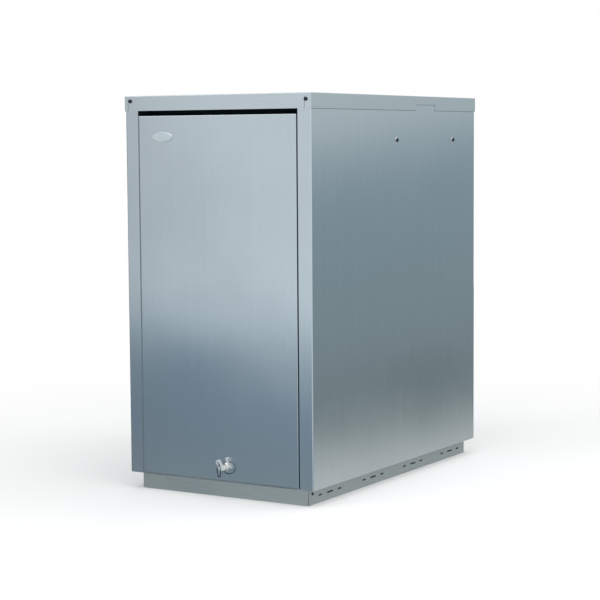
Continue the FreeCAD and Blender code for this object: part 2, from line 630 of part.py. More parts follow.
def make_drum():
    """The stainless condensing drum: a shell with end flanges, water spigots and a flue spigot."""
    centre = ("0", "drum_front", "drum_z")
    deep = "drum_rear - drum_front"
    shell = rod("y", centre, "drum_radius", deep)
    flanges = [rod("y", ("0", at, "drum_z"), "drum_radius + 8", "4")
               for at in ("drum_front", "drum_rear - 30")]
    spigots = [rod("z", (x, "pump_y", "spigot_z"), "14", "40") for x in ("-spigot_x", "spigot_x")]
    drain = rod("z", ("0", "trap_y", "drum_z - drum_radius - 12"), "12", "20")
    top = rod("z", ("0", "-40", "drum_z + drum_radius - 10"), "11", "18")
    hollow = rod("y", ("0", "drum_front - 1", "drum_z"), "drum_radius - drum_wall", f"{deep} - 3")
    outlet = rod("y", ("0", "drum_rear - 5", "drum_z"), "flue_radius - flue_wall", "10")
    bores = [rod("z", (x, "pump_y", "spigot_z - 1"), "11", "60") for x in ("-spigot_x", "spigot_x")]
    drips = rod("z", ("0", "trap_y", "drum_z - drum_radius - 13"), "9", "30")
    riser = rod("z", ("0", "-40", "drum_z + drum_radius - 12"), "8", "30")
    outside = fuse(shell, *flanges, *spigots, drain, top)
    keep("heat_exchanger", cut(outside, hollow, outlet, *bores, drips, riser))


def make_cradle():
    """Two cross rails between the sides, each with a saddle plate under the drum."""
    rails = []
    for front in ("cradle_front", "cradle_rear"):
        across = ("-case_width/2 + 2", "case_width/2 - 2")
        rail = block(across, (front, f"{front} + 20"), ("cradle_low", "cradle_low + 3"))
        web = block(across, (front, f"{front} + 3"), ("cradle_low", "cradle_low + 25"))
        saddle = block(("-118", "118"), (front, f"{front} + 3"), ("cradle_low", "drum_z - 95"))
        round_seat = rod("y", ("0", f"{front} - 1", "drum_z"), "drum_radius", "30")
        rails.append(cut(fuse(rail, web, saddle), round_seat))
    keep("drum_cradle", group(*rails))


def make_burner():
    """A cast front plate with the mixture elbow, the burner tube behind it and the electrode."""
    plate = rod("-y", ("0", "drum_front", "drum_z"), "drum_radius + 6", "door_plate")
    boss = rod("-y", ("0", "drum_front", "drum_z"), "60", "door_plate + 8")
    arm = rod("-y", ("0", "drum_front", "drum_z"), "neck_radius", "drum_front - neck_y")
    knee = ball(("0", "neck_y", "drum_z"), "neck_radius")
    rise = rod("z", ("0", "neck_y", "drum_z"), "neck_radius", "40")
    flange = rod("z", ("0", "neck_y", "drum_z + 36"), "neck_radius + 10", "4")
    proud = ("drum_front - door_plate - 5", "drum_front - 2")
    level = ("drum_z - 2.5", "drum_z + 2.5")
    ribs = [block(("-2.5", "2.5"), proud, ("drum_z - 140", "drum_z - 50")),
            block(("-140", "-50"), proud, level), block(("50", "140"), proud, level)]
    bore_in = rod("-y", ("0", "drum_front + 1", "drum_z"), "neck_radius - 4", "drum_front - neck_y + 1")
    bore_up = rod("z", ("0", "neck_y", "drum_z"), "neck_radius - 4", "50")
    spark = rod("-y", ("spark_x", "drum_front + 1", "spark_z"), "5.1", "40")
    keep("burner_door", cut(fuse(plate, boss, arm, knee, rise, flange, *ribs), bore_in, bore_up, spark))
    tube = rod("y", ("0", "drum_front", "drum_z"), "burner_radius", "burner_end - drum_front")
    lining = rod("y", ("0", "drum_front - 1", "drum_z"), "burner_radius - 1.5", "burner_end - drum_front - 1")
    keep("burner_tube", cut(tube, lining))
    ceramic = rod("-y", ("spark_x", "drum_front + 10", "spark_z"), "5", "50")
    cap = rod("-y", ("spark_x", "drum_front - door_plate - 0.2", "spark_z"), "9", "5")
    tip = rod("y", ("spark_x", "drum_front + 10", "spark_z"), "1.2", "18")
    keep("ignition_electrode", fuse(ceramic, cap, tip))


def make_fan():
    """A volute with a side outlet down to the elbow, its motor in front and the wheel inside."""
    deep = "fan_rear - fan_front"
    drum = rod("y", ("fan_x", "fan_front", "fan_z"), "fan_radius", deep)
    low, high = "fan_x + fan_radius - 44", "fan_x + fan_radius"
    duct = block((low, high), ("fan_front", "fan_rear"), ("drum_z + 44", "fan_z"))
    flange = block((f"{low} - 8", f"{high} + 8"), ("fan_front - 4", "fan_rear + 4"),
                   ("drum_z + 40", "drum_z + 44"))
    throat = rod("y", ("fan_x", "fan_rear", "fan_z"), "34", "22")
    inner = rod("y", ("fan_x", "fan_front + fan_wall", "fan_z"), "fan_radius - fan_wall",
                f"{deep} - 2*fan_wall")
    duct_bore = block((f"{low} + fan_wall", f"{high} - fan_wall"),
                      ("fan_front + fan_wall", "fan_rear - fan_wall"), ("drum_z + 39", "fan_z"))
    mouth = rod("y", ("fan_x", "fan_rear - 4", "fan_z"), "28", "40")
    hub = rod("y", ("fan_x", "fan_front - 1", "fan_z"), "9", "6")
    keep("fan_housing", cut(fuse(drum, duct, flange, throat), inner, duct_bore, mouth, hub))
    motor = fuse(rod("-y", ("fan_x", "fan_front", "fan_z"), "motor_radius", "motor_length"),
                 rod("-y", ("fan_x", "fan_front - motor_length", "fan_z"), "motor_radius - 8", "4"))
    shaft_hole = rod("-y", ("fan_x", "fan_front + 1", "fan_z"), "shaft_radius + running", "40")
    keep("fan_motor", cut(motor, shaft_hole))
    start = "fan_front + 8"
    body = new_body("fan_impeller")
    revolve(body, "XZ_Plane", [rectangle("0", "wheel_radius", "8", "10")])
    pad(body, "XY_Plane", "0", "20", [("0", "0", "wheel_hub/2")])
    pad(body, "XY_Plane", "-40", "42", [("0", "0", "shaft_radius")])
    blade = pad(body, "XY_Plane", "10", "34", [rectangle("wheel_radius - 16", "wheel_radius - 1", "-1", "1")])
    pattern = body.newObject("PartDesign::PolarPattern", "blades")
    pattern.Originals = [blade]
    pattern.Axis = (blade.Profile[0], ["N_Axis"])
    pattern.Angle = 360
    pattern.Occurrences = 24
    body.Tip = pattern
    body.Placement = Placement(Vector(), TURN["y"])
    keep("fan_impeller", put(body, ("fan_x", start, "fan_z")))


# Water side ------------------------------------------------------------------------------------

def make_plate_exchanger():
    """A stack of pressed plates on two feet, with water ports on its front and rear."""
    x = ("plate_x - 60", "plate_x + 60")
    ends = [block(x, span, ("plate_low", "plate_high")) for span in (
        ("plate_front", "plate_front + 6"), ("plate_rear - 6", "plate_rear"))]
    core = block(("plate_x - 57", "plate_x + 57"), ("plate_front + 2", "plate_rear - 2"),
                 ("plate_low + 3", "plate_high - 3"))
    pitch = 8
    plates = [block(x, (f"plate_front + {step * pitch}", f"plate_front + {step * pitch} + 3"),
                    ("plate_low + 1", "plate_high - 1")) for step in range(1, 12)]
    feet = [block((f"plate_x + {at}", f"plate_x + {at} + 20"), ("plate_front + 10", "plate_rear - 10"),
                  ("plinth_height + thick", "plate_low + 4")) for at in (-55, 35)]
    keep("plate_exchanger", fuse(core, *ends, *plates, *feet))


def make_water_pipes():
    """The primary loop in copper and the two pool connections in grey plastic."""
    front = "plate_front - 45"
    over = "plate_high + 16"
    keep("primary_flow_pipe", pipe([("-spigot_x", "pump_y", "spigot_z"), ("-spigot_x", "pump_y", over),
                                    ("-spigot_x", front, over), ("plate_x", front, "port_high"),
                                    ("plate_x", "plate_front", "port_high")], "copper_radius", "copper_wall"))
    keep("primary_return_pipe", pipe([("plate_x", "plate_front", "port_low"), ("plate_x", front, "port_low"),
                                      ("pump_x", front, "port_low"), ("pump_x", "pump_y", "port_low"),
                                      ("pump_x", "pump_y", "pump_z - pump_radius - 20")],
                                     "copper_radius", "copper_wall"))
    for name, level in (("pool_inlet_pipe", "port_low"), ("pool_outlet_pipe", "port_high")):
        tube = rod("y", ("plate_x", "plate_rear", level), "pool_radius", "rear_reach - plate_rear")
        collars = [rod("y", ("plate_x", at, level), "pool_radius + 5", "26") for at in ("plate_rear", "120")]
        collars.append(rod("y", ("plate_x", "case_depth/2 + 4", level), "pool_radius + 5", "4"))
        bore = rod("y", ("plate_x", "plate_rear - 1", level), "pool_radius - pool_wall", "520")
        keep(name, cut(fuse(tube, *collars), bore))


def make_pump():
    """A canned circulator: volute in the return pipe, motor towards the door, wheel between."""
    low, high = "pump_z - pump_radius - 20", "spigot_z"
    volute = rod("y", ("pump_x", "pump_y - 26", "pump_z"), "pump_radius", "52")
    ports = rod("z", ("pump_x", "pump_y", low), "17", f"({high}) - ({low})")
    unions = [hexagon("z", ("pump_x", "pump_y", at), "21", "12") for at in (low, f"{high} - 12")]
    chamber = rod("y", ("pump_x", "pump_y - 27", "pump_z"), "pump_radius - 8", "40")
    way = rod("z", ("pump_x", "pump_y", f"{low} - 1"), "11", f"({high}) - ({low}) + 2")
    keep("pump_housing", cut(fuse(volute, ports, *unions), chamber, way))
    face = "pump_y - 26"
    can = rod("-y", ("pump_x", face, "pump_z"), "pump_radius - 4", "78")
    cap = rod("-y", ("pump_x", f"{face} - 78", "pump_z"), "20", "6")
    terminal = block(("pump_x - 28", "pump_x + 28"), (f"{face} - 70", f"{face} - 20"),
                     ("pump_z - pump_radius - 10", "pump_z - 20"))
    seat = rod("-y", ("pump_x", f"{face} + 1", "pump_z"), "shaft_radius + running", "51")
    keep("pump_motor", cut(fuse(can, cap, terminal), seat))
    body = new_body("pump_impeller")
    pad(body, "XY_Plane", "0", "4", [("0", "0", "30")])
    pad(body, "XY_Plane", "-45", "46", [("0", "0", "shaft_radius")])
    vane = pad(body, "XY_Plane", "4", "12", [rectangle("8", "29", "-1.5", "1.5")])
    pattern = body.newObject("PartDesign::PolarPattern", "vanes")
    pattern.Originals = [vane]
    pattern.Axis = (vane.Profile[0], ["N_Axis"])
    pattern.Angle = 360
    pattern.Occurrences = 6
    body.Tip = pattern
    pad(body, "XY_Plane", "4", "6", [("0", "0", "9")])
    body.Placement = Placement(Vector(), TURN["y"])
    keep("pump_impeller", put(body, ("pump_x", f"{face} + 4", "pump_z")))


def make_vessel():
    """A flat expansion vessel on a foot, its spigot meeting the return pipe."""
    x, front = "pump_x", "-20"
    shell = round_edges(rod("y", (x, front, "vessel_z"), "vessel_radius", "80"), "26",
                        lambda edge: within(edge, "y", front) or within(edge, "y", f"{front} + 80"))
    foot = block((f"{x} - 40", f"{x} + 40"), (f"{front} + 12", f"{front} + 68"),
                 ("plinth_height + thick", "vessel_z - 60"))
    seam = rod("y", (x, f"{front} + 36", "vessel_z"), "vessel_radius + 3", "8")
    spigot = rod("-y", (x, f"{front} + 2", "vessel_z"), "6", "78")
    pipe_seat = rod("z", (x, "pump_y", "vessel_z - 20"), "copper_radius + 0.05", "40")
    keep("expansion_vessel", cut(fuse(shell, foot, seam, spigot), pipe_seat))


def make_relief_valve():
    """A brass valve on top of the drum; its cap turns to test it."""
    start = "drum_z + drum_radius + 8"
    at = ("0", "-40")
    body = fuse(hexagon("z", (*at, start), "16", "18"), rod("z", (*at, start), "12", "34"),
                rod("z", (*at, f"{start} + 30"), "15", "18"), rod("x", (*at, f"{start} + 10"), "9", "34"))
    stem_hole = rod("z", (*at, f"{start} + 34"), "4 + running", "20")
    outlet = rod("x", ("4", "-40", f"{start} + 10"), "6", "40")
    inlet = rod("z", (*at, f"{start} - 1"), "8", "14")
    keep("relief_valve", cut(body, stem_hole, outlet, inlet))
    top = f"{start} + 48.5"
    flutes = [rod("z", (f"19*cos({turn})", f"-40 + 19*sin({turn})", f"{top} - 1"), "3.5", "30")
              for turn in range(0, 360, 45)]
    cap = round_edges(rod("z", (*at, top), "17", "16"), "2", lambda edge: within(edge, "z", f"{top} + 16"))
    keep("relief_cap", fuse(cut(cap, *flutes), rod("z", (*at, f"{top} - 12"), "4", "13")))


def make_flow_switch():
    """A paddle switch saddled on the pool inlet pipe."""
    collar = rod("y", ("plate_x", "170", "port_low"), "pool_radius + 6", "34")
    neck = rod("z", ("plate_x", "187", "port_low"), "10", "50")
    head = block(("plate_x - 22", "plate_x + 22"), ("160", "214"), ("port_low + 45", "port_low + 85"))
    bore = rod("y", ("plate_x", "160", "port_low"), "pool_radius + 0.05", "60")
    keep("flow_switch", cut(fuse(collar, neck, head), bore))


# Gas side --------------------------------------------------------------------------------------

def make_gas_train():
    """Supply tail and cock at the rear, a pipe along the left side and the valve beside the fan."""
    inlet = "cock_y - 28"
    core = hexagon("y", ("gas_x", "cock_y - 20", "gas_z"), "19", "40")
    port = rod("y", ("gas_x", inlet, "gas_z"), "15", "12")
    tail = rod("y", ("gas_x", "cock_y + 18", "gas_z"), "thread_radius", "rear_reach - cock_y - 18")
    collar = rod("y", ("gas_x", "case_depth/2 + 4", "gas_z"), "thread_radius + 4", "4")
    neck = rod("z", ("gas_x", "cock_y", "gas_z + 10"), "8", "10")
    bore = rod("y", ("gas_x", f"{inlet} - 1", "gas_z"), "8", "200")
    stem_hole = rod("z", ("gas_x", "cock_y", "gas_z + 5"), "4 + running", "20")
    keep("gas_cock", cut(fuse(core, port, tail, collar, neck), bore, stem_hole))
    arm = block(("gas_x - 7", "gas_x + 7"), ("cock_y - 72", "cock_y"), ("gas_z + 21", "gas_z + 24"))
    hub = rod("z", ("gas_x", "cock_y", "gas_z + 21"), "10", "5")
    tip = rod("z", ("gas_x", "cock_y - 72", "gas_z + 21"), "7", "3")
    stem = rod("z", ("gas_x", "cock_y", "gas_z + 9"), "4", "13")
    keep("gas_cock_lever", fuse(arm, hub, tip, stem))
    foot = "fan_z - 45"
    keep("gas_pipe", pipe([("gas_x", inlet, "gas_z"), ("gas_x", "valve_y", "gas_z"),
                           ("gas_x", "valve_y", "drum_z + 40"), ("valve_x", "valve_y", "drum_z + 40"),
                           ("valve_x", "valve_y", foot)], "gas_radius", "1.2", "18"))
    case = block(("valve_x - 32", "valve_x + 32"), ("valve_y - 26", "valve_y + 24"), (foot, "fan_z + 45"))
    coil = rod("-y", ("valve_x", "valve_y - 20", "fan_z + 18"), "17", "26")
    spout = rod("x", ("valve_x + 30", "valve_y + 12", "fan_z"), "8", "60")
    throat = rod("y", ("fan_x", "fan_rear - 10", "fan_z"), "34.05", "40")
    inlet_bore = rod("z", ("valve_x", "valve_y", f"{foot} - 1"), "9", "16")
    keep("gas_valve", cut(fuse(case, coil, spout), throat, inlet_bore))


# Flue and condensate ---------------------------------------------------------------------------

def make_flue():
    """A duct from the drum to the upper rear panel, pushed together, ending in a guarded terminal."""
    middle = "(drum_z + flue_z)/2"
    tail_start = "flue_y + flue_bend + 12"
    lower = pipe([("0", "drum_rear", "drum_z"), ("0", "flue_y", "drum_z"), ("0", "flue_y", middle)],
                 "flue_radius", "flue_wall", "flue_bend")
    upper = pipe([("0", "flue_y", middle), ("0", "flue_y", "flue_z"), ("0", tail_start, "flue_z")],
                 "flue_radius", "flue_wall", "flue_bend")
    tail = pipe([("0", tail_start, "flue_z"), ("0", "rear_reach - 10", "flue_z")], "flue_radius", "flue_wall")
    joints = ("z", ("0", "flue_y", f"{middle} - 12")), ("y", ("0", f"{tail_start} - 12", "flue_z"))
    sockets = [cut(rod(axis, start, "flue_radius + 3.5", "24"), rod(axis, start, "flue_radius", "24"))
               for axis, start in joints]
    keep("flue_duct", group(lower, upper, tail, *sockets))
    face = "case_depth/2 - 1.4"
    collar = rod("y", ("0", face, "flue_z"), "terminal_radius", f"rear_reach - ({face})")
    flange = rod("y", ("0", face, "flue_z"), "terminal_radius + 18", "2")
    bore = rod("y", ("0", f"{face} - 1", "flue_z"), "flue_radius + 0.1", "60")
    bars = []
    for place in (-30, -15, 0, 15, 30):
        bar = doc.addObject("Part::Common", "bar")
        bar.Base = block((f"{place} - 1.2", f"{place} + 1.2"), ("rear_reach - 4", "rear_reach - 1.5"),
                         ("flue_z - terminal_radius", "flue_z + terminal_radius"))
        bar.Tool = rod("y", ("0", "rear_reach - 6", "flue_z"), "flue_radius + 0.1", "6")
        bars.append(bar)
    keep("flue_terminal", group(cut(fuse(collar, flange), bore), *bars))


def make_condensate():
    """A trap under the drum's drain, and the waste pipe to the rear."""
    low, high = "trap_low", "trap_high"
    cup = rod("z", ("0", "trap_y", low), "30", f"{high} - {low}")
    rim = rod("z", ("0", "trap_y", "trap_low + 38"), "33", "6")
    neck = rod("z", ("0", "trap_y", high), "14", f"drum_z - drum_radius - 12 - {high}")
    spigot = rod("y", ("0", "trap_y + 15", "trap_out"), "14", "21")
    inside = rod("z", ("0", "trap_y", f"{low} + 3"), "27", f"{high} - {low} - 6")
    drop = rod("z", ("0", "trap_y", f"{high} - 5"), "10", "40")
    way = rod("y", ("0", "trap_y + 15", "trap_out"), "waste_radius - 2", "40")
    keep("condensate_trap", cut(fuse(cup, rim, neck, spigot), inside, drop, way))
    drop_y = "trap_y + 80"
    keep("condensate_pipe", pipe([("0", "trap_y + 36", "trap_out"), ("0", drop_y, "trap_out"),
                                  ("0", drop_y, "waste_z"), ("0", "rear_reach - 4", "waste_z")],
                                 "waste_radius", "2", "24"))


# Controls --------------------------------------------------------------------------------------

def make_controls():
    """The box above the fan: thermostat knob, gauge, lamp, reset button and rocker switch."""
    front, back = "box_front", "box_front + 2"
    fascia = block(("-box_half", "box_half"), (front, back), ("box_low", "box_high"))
    shelf = block(("-case_width/2 + 2", "case_width/2 - 2"), (front, "box_rear"), ("box_low - 2", "box_low"))
    top = block(("-box_half", "box_half"), (back, "box_rear"), ("box_high - 2", "box_high"))
    ends = [block(sorted((f"{sign}(box_half - 2)", f"{sign}box_half"), key=value), (back, "box_rear"),
                  ("box_low", "box_high - 2")) for sign in ("-", "")]
    bosses = [rod("y", (x, front, "control_z"), radius, "14")
              for x, radius in (("knob_x", "9"), ("button_x", "12"))]
    cheeks = [block(sorted((f"switch_x {sign} 10.2", f"switch_x {sign} 14"), key=value),
                    (front, f"{front} + 14"), ("control_z - 17", "control_z + 17")) for sign in "-+"]
    pivot_y = f"{front} + 6"
    holes = [rod("y", ("knob_x", f"{front} - 1", "control_z"), "3 + running", "20"),
             rod("y", ("button_x", f"{front} - 1", "control_z"), "button_radius + running", "20"),
             rod("y", ("lamp_x", f"{front} - 1", "control_z"), "6.1", "6"),
             block(("switch_x - 10.2", "switch_x + 10.2"), (f"{front} - 1", f"{front} + 3"),
                   ("control_z - 15", "control_z + 15")),
             rod("x", ("switch_x - 12.5", pivot_y, "control_z"), "2 + running", "25")]
    keep("control_box", group(cut(fuse(fascia, *bosses, *cheeks), *holes), shelf, top, *ends))
    keep("pressure_gauge", cut(rod("-y", ("gauge_x", front, "control_z"), "gauge_radius", "12"),
                               rod("-y", ("gauge_x", f"{front} - 9", "control_z"), "gauge_radius - 3", "6")))
    lens = fuse(rod("-y", ("lamp_x", f"{front} + 4", "control_z"), "6", "7"),
                rod("-y", ("lamp_x", f"{front}", "control_z"), "8", "2"))
    keep("indicator_lamp", lens)
    face = f"{front} - 1"
    skirt = rod("-y", ("knob_x", face, "control_z"), "knob_radius", "4")
    grip = rod("-y", ("knob_x", face, "control_z"), "knob_radius - 5", "17")
    flutes = [rod("-y", (f"knob_x + 17.5*cos({turn})", f"{face} - 4", f"control_z + 17.5*sin({turn})"),
                  "2.6", "20") for turn in range(15, 375, 30)]
    pointer = block(("knob_x - 1", "knob_x + 1"), (f"{face} - 18", f"{face} - 15"),
                    ("control_z", "control_z + 15"))
    shaft = rod("y", ("knob_x", f"{face} - 2", "control_z"), "3", "15")
    keep("control_knob", fuse(cut(fuse(skirt, grip), *flutes), pointer, shaft))
    keep("reset_button", rod("y", ("button_x", f"{front} - 6", "control_z"), "button_radius", "24"))


def make_switch():
    """A rocker that rests tilted; it is drawn about its own pivot."""
    half_wide, half_tall, tilt = 9.7, 12.5, -6
    rocker = block((-half_wide, half_wide), ("-10", "-2"), (-half_tall, half_tall))
    web = block((-half_wide, half_wide), ("-3", "3"), ("-4", "4"))
    pins = rod("x", ("-12", "0", "0"), "2", "24")
    piece = fuse(rocker, web, pins)
    piece.Placement = Placement(Vector(value("switch_x"), value("box_front + 6"), value("control_z")),
                                Rotation(Vector(1, 0, 0), tilt))
    keep("power_switch", piece)


def make_gland():
    face = "case_depth/2 + 1.8"
    at = ("gland_x", "gland_z")
    thread = rod("y", (at[0], f"{face} - 6", at[1]), "8", "10")
    collar = hexagon("y", (at[0], face, at[1]), "12.5", "6")
    dome = taper("y", (at[0], f"{face} + 6", at[1]), "10.5", "7", "12")
    nut = cut(hexagon("-y", (at[0], f"{face} - thick", at[1]), "12.5", "4"),
              rod("-y", (at[0], f"{face}", at[1]), "8.05", "12"))
    bore = rod("y", (at[0], f"{face} - 8", at[1]), "4.5", "40")
    keep("cable_gland", cut(fuse(thread, collar, dome, nut), bore))


for make in (make_plinth, make_base_tray, make_side_panels, make_rear_panels, make_lid, make_header_rail,
             make_case_screws, make_door, make_lock, make_key, make_drum, make_cradle, make_burner, make_fan,
             make_plate_exchanger, make_water_pipes, make_pump, make_vessel, make_relief_valve,
             make_flow_switch, make_gas_train, make_flue, make_condensate, make_controls, make_switch,
             make_gland):
    make()
doc.recompute()

for item in doc.Objects:
    if "Invalid" in item.State or "Error" in item.State:
        raise SystemExit(f"{item.Name} failed: {item.State}")
for name, piece in nodes.items():
    if piece.Shape.isNull() or not piece.Shape.isValid():
        raise SystemExit(f"{name} has no valid shape")

os.makedirs("parts", exist_ok=True)
for name, piece in nodes.items():
    piece.Shape.exportStep(f"parts/{name}.step")
print(len(nodes), "nodes")
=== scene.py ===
import math

import bmesh
import bpy
from mathutils import Euler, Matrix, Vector


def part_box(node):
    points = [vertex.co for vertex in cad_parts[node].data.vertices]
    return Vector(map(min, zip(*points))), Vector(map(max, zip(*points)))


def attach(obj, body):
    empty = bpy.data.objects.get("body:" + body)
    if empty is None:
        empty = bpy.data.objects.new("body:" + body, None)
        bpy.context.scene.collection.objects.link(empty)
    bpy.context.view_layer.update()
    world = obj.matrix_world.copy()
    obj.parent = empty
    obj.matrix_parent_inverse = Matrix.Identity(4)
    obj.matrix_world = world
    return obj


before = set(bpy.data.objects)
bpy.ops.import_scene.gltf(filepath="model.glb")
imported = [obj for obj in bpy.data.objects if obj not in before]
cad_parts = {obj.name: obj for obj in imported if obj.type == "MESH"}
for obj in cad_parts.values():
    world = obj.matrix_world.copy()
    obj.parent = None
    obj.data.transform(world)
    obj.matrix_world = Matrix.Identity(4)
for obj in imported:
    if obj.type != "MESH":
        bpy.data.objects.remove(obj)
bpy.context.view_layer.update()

# Camera and studio -----------------------------------------------------------------------------

scene = bpy.context.scene
scene.view_settings.view_transform = "Standard"

LENS_MM = 107.08
CAMERA_PLACE = (2.2039, -3.6834, 0.7993)
CAMERA_TURNS = (31.2148, 84.8684, -0.3939)      # about Z, then the new X, then the new Z, degrees

# The azimuths, in degrees, of what the door and the right side reflect, and of what is behind the camera
DOOR_AZIMUTH = 236
SIDE_AZIMUTH = 61.7
CAMERA_AZIMUTH = 301

FLOOR_RADIUS = 14
BACKDROP_RADIUS = 13.5
RIPPLE = 0.012      # how far the studio's bands of light waver, on the scale of their ramps


def make_camera():
    """The photo's viewpoint, set as the scene's camera."""
    data = bpy.data.cameras.new("camera")
    data.lens = LENS_MM
    data.sensor_width = 36
    data.clip_end = 60
    camera = bpy.data.objects.new("camera", data)
    scene.collection.objects.link(camera)
    swing, tip, roll = (math.radians(turn) for turn in CAMERA_TURNS)
    turned = (Euler((0, 0, swing)).to_matrix() @ Euler((tip, 0, 0)).to_matrix()
              @ Euler((0, 0, roll)).to_matrix())
    camera.matrix_world = turned.to_4x4()
    camera.location = CAMERA_PLACE
    scene.camera = camera


def nodes_of(tree):
    """An emptied node tree's nodes, and the function that links its sockets."""
    tree.nodes.clear()
    return tree.nodes, tree.links.new


def ramp(new_node, link, source, stops, smooth="LINEAR"):
    """A colour ramp fed by a socket; stops are (place, (r, g, b))."""
    node = new_node("ShaderNodeValToRGB")
    node.color_ramp.interpolation = smooth
    elements = node.color_ramp.elements
    while len(elements) > 1:
        elements.remove(elements[-1])
    elements[0].position = stops[0][0]
    elements[0].color = (*stops[0][1], 1)
    for place, colour in stops[1:]:
        elements.new(place).color = (*colour, 1)
    link(source, node.inputs["Fac"])
    return node.outputs["Color"]


def maths(new_node, link, operation, first, second=None, clamp=False):
    """A maths node fed by sockets or plain numbers."""
    node = new_node("ShaderNodeMath")
    node.operation = operation
    node.use_clamp = clamp
    for socket, value in zip(node.inputs, (first, second)):
        if isinstance(value, (int, float)):
            socket.default_value = value
        elif value is not None:
            link(value, socket)
    return node.outputs[0]


def elevation(degrees):
    """Where a direction at that elevation stands on the world's ramps."""
    return 0.5 + 0.5 * math.sin(math.radians(degrees))


def sky(new_node, link, height, stops):
    """A ramp of light by height; stops are (elevation in degrees, colour)."""
    return ramp(new_node, link, height, [(elevation(angle), colour) for angle, colour in stops])


def lobe(new_node, link, direction, azimuth, gain, offset):
    """How much a direction belongs to the side of the studio at an azimuth, from 0 to 1."""
    facing = new_node("ShaderNodeVectorMath")
    facing.operation = "DOT_PRODUCT"
    facing.inputs[1].default_value = (math.cos(math.radians(azimuth)), math.sin(math.radians(azimuth)), 0)
    link(direction, facing.inputs[0])
    share = maths(new_node, link, "MULTIPLY_ADD", facing.outputs["Value"], gain, clamp=True)
    share.node.inputs[2].default_value = offset
    return share


def slope(new_node, link, direction, azimuth):
    """How far a direction lies to the left of an azimuth: nought on it, and negative to its right."""
    across = new_node("ShaderNodeVectorMath")
    across.operation = "DOT_PRODUCT"
    across.inputs[1].default_value = (-math.sin(math.radians(azimuth)), math.cos(math.radians(azimuth)), 0)
    link(direction, across.inputs[0])
    return across.outputs["Value"]


def sheared(new_node, link, direction, height, azimuth, amount):
    """The same height, but rising to one side of an azimuth, so that a band of light stands aslant."""
    slant = maths(new_node, link, "MULTIPLY_ADD", slope(new_node, link, direction, azimuth), amount)
    link(height, slant.node.inputs[2])
    return slant


def mixed(new_node, link, share, first, second):
    """Blend from a first colour to a second; either is a socket or a plain colour."""
    blend = new_node("ShaderNodeMix")
    blend.data_type = "RGBA"
    link(share, blend.inputs["Factor"])
    for socket, source in zip((blend.inputs["A"], blend.inputs["B"]), (first, second)):
        if isinstance(source, tuple):
            socket.default_value = source
        else:
            link(source, socket)
    return blend.outputs["Result"]


def make_world():
    """A studio seen by the steel: each side has its own bands of light and dark near the horizon."""
    world = bpy.data.worlds.new("studio")
    world.use_nodes = True
    nodes, link = nodes_of(world.node_tree)
    new_node = nodes.new
    direction = new_node("ShaderNodeTexCoord").outputs["Generated"]
    split = new_node("ShaderNodeSeparateXYZ")
    link(direction, split.inputs[0])
    height = maths(new_node, link, "MULTIPLY_ADD", split.outputs["Z"], 0.5)
    height.node.inputs[2].default_value = 0.5
    ripple = noise(new_node, link, direction, 22, 2, 0.5)
    rippled = maths(new_node, link, "MULTIPLY_ADD", ripple, RIPPLE)
    link(maths(new_node, link, "ADD", height, -RIPPLE / 2), rippled.node.inputs[2])
    door_height = sheared(new_node, link, direction, rippled, DOOR_AZIMUTH, 0.125)
    rear_height = sheared(new_node, link, direction, rippled, SIDE_AZIMUTH, -0.10)
    door_side = sky(new_node, link, door_height, [
        (-90, (0.30, 0.36, 0.38)), (-20, (0.32, 0.38, 0.40)), (-11.5, (0.31, 0.365, 0.375)),
        (-9.7, (0.245, 0.31, 0.375)), (-7.0, (0.205, 0.29, 0.36)), (-6.4, (0.35, 0.455, 0.535)),
        (-5.5, (0.76, 0.835, 0.865)), (-4, (0.80, 0.855, 0.885)), (-1, (0.80, 0.84, 0.875)),
        (12, (0.82, 0.85, 0.88)), (90, (1.0, 1.0, 1.0))])
    leftward = slope(new_node, link, direction, DOOR_AZIMUTH)
    left_shade = maths(new_node, link, "MULTIPLY_ADD", leftward, 8.0, clamp=True)
    left_shade.node.inputs[2].default_value = 1.22
    door_side = mixed(new_node, link, left_shade, (0.10, 0.11, 0.12, 1), door_side)
    rear_side = sky(new_node, link, rear_height, [
        (-90, (0.62, 0.62, 0.61)), (-10.7, (0.70, 0.70, 0.68)), (-9.8, (0.56, 0.60, 0.58)),
        (-9.1, (0.20, 0.235, 0.235)), (-7.8, (0.20, 0.24, 0.25)), (-6.5, (0.265, 0.325, 0.34)),
        (-4, (0.28, 0.35, 0.37)), (-1.8, (0.285, 0.36, 0.395)), (-0.3, (0.34, 0.42, 0.455)),
        (0.8, (0.60, 0.65, 0.66)), (3, (0.63, 0.69, 0.70)), (15, (0.78, 0.80, 0.80)),
        (90, (1.0, 1.0, 1.0))])
    behind_camera = sky(new_node, link, height, [
        (-90, (0.40, 0.43, 0.45)), (-8, (0.45, 0.50, 0.54)), (-3, (0.95, 0.98, 1.0)),
        (90, (1.1, 1.1, 1.1))])
    door_share = lobe(new_node, link, direction, DOOR_AZIMUTH, 0.8, 0.5)
    both = mixed(new_node, link, door_share, rear_side, door_side)
    camera_share = lobe(new_node, link, direction, CAMERA_AZIMUTH, 9.0, -8.1)
    whole = mixed(new_node, link, camera_share, both, behind_camera)
    background = new_node("ShaderNodeBackground")
    link(whole, background.inputs["Color"])
    link(background.outputs[0], new_node("ShaderNodeOutputWorld").inputs["Surface"])
    scene.world = world


def area_light(name, place, target, size, power):
    """A soft rectangular light aimed at a target."""
    data = bpy.data.lights.new(name, "AREA")
    data.shape = "RECTANGLE"
    data.size, data.size_y = size
    data.energy = power
    light = bpy.data.objects.new(name, data)
    scene.collection.objects.link(light)
    light.location = place
    light.rotation_euler = (Vector(target) - Vector(place)).to_track_quat("-Z", "Y").to_euler()


def hide_from_steel(thing, by_diffuse=False):
    """Keep a stage piece out of reflections and shadows; matt surfaces may still see it."""
    thing.visible_glossy = False
    thing.visible_diffuse = by_diffuse
    thing.visible_shadow = False
    thing.visible_transmission = False


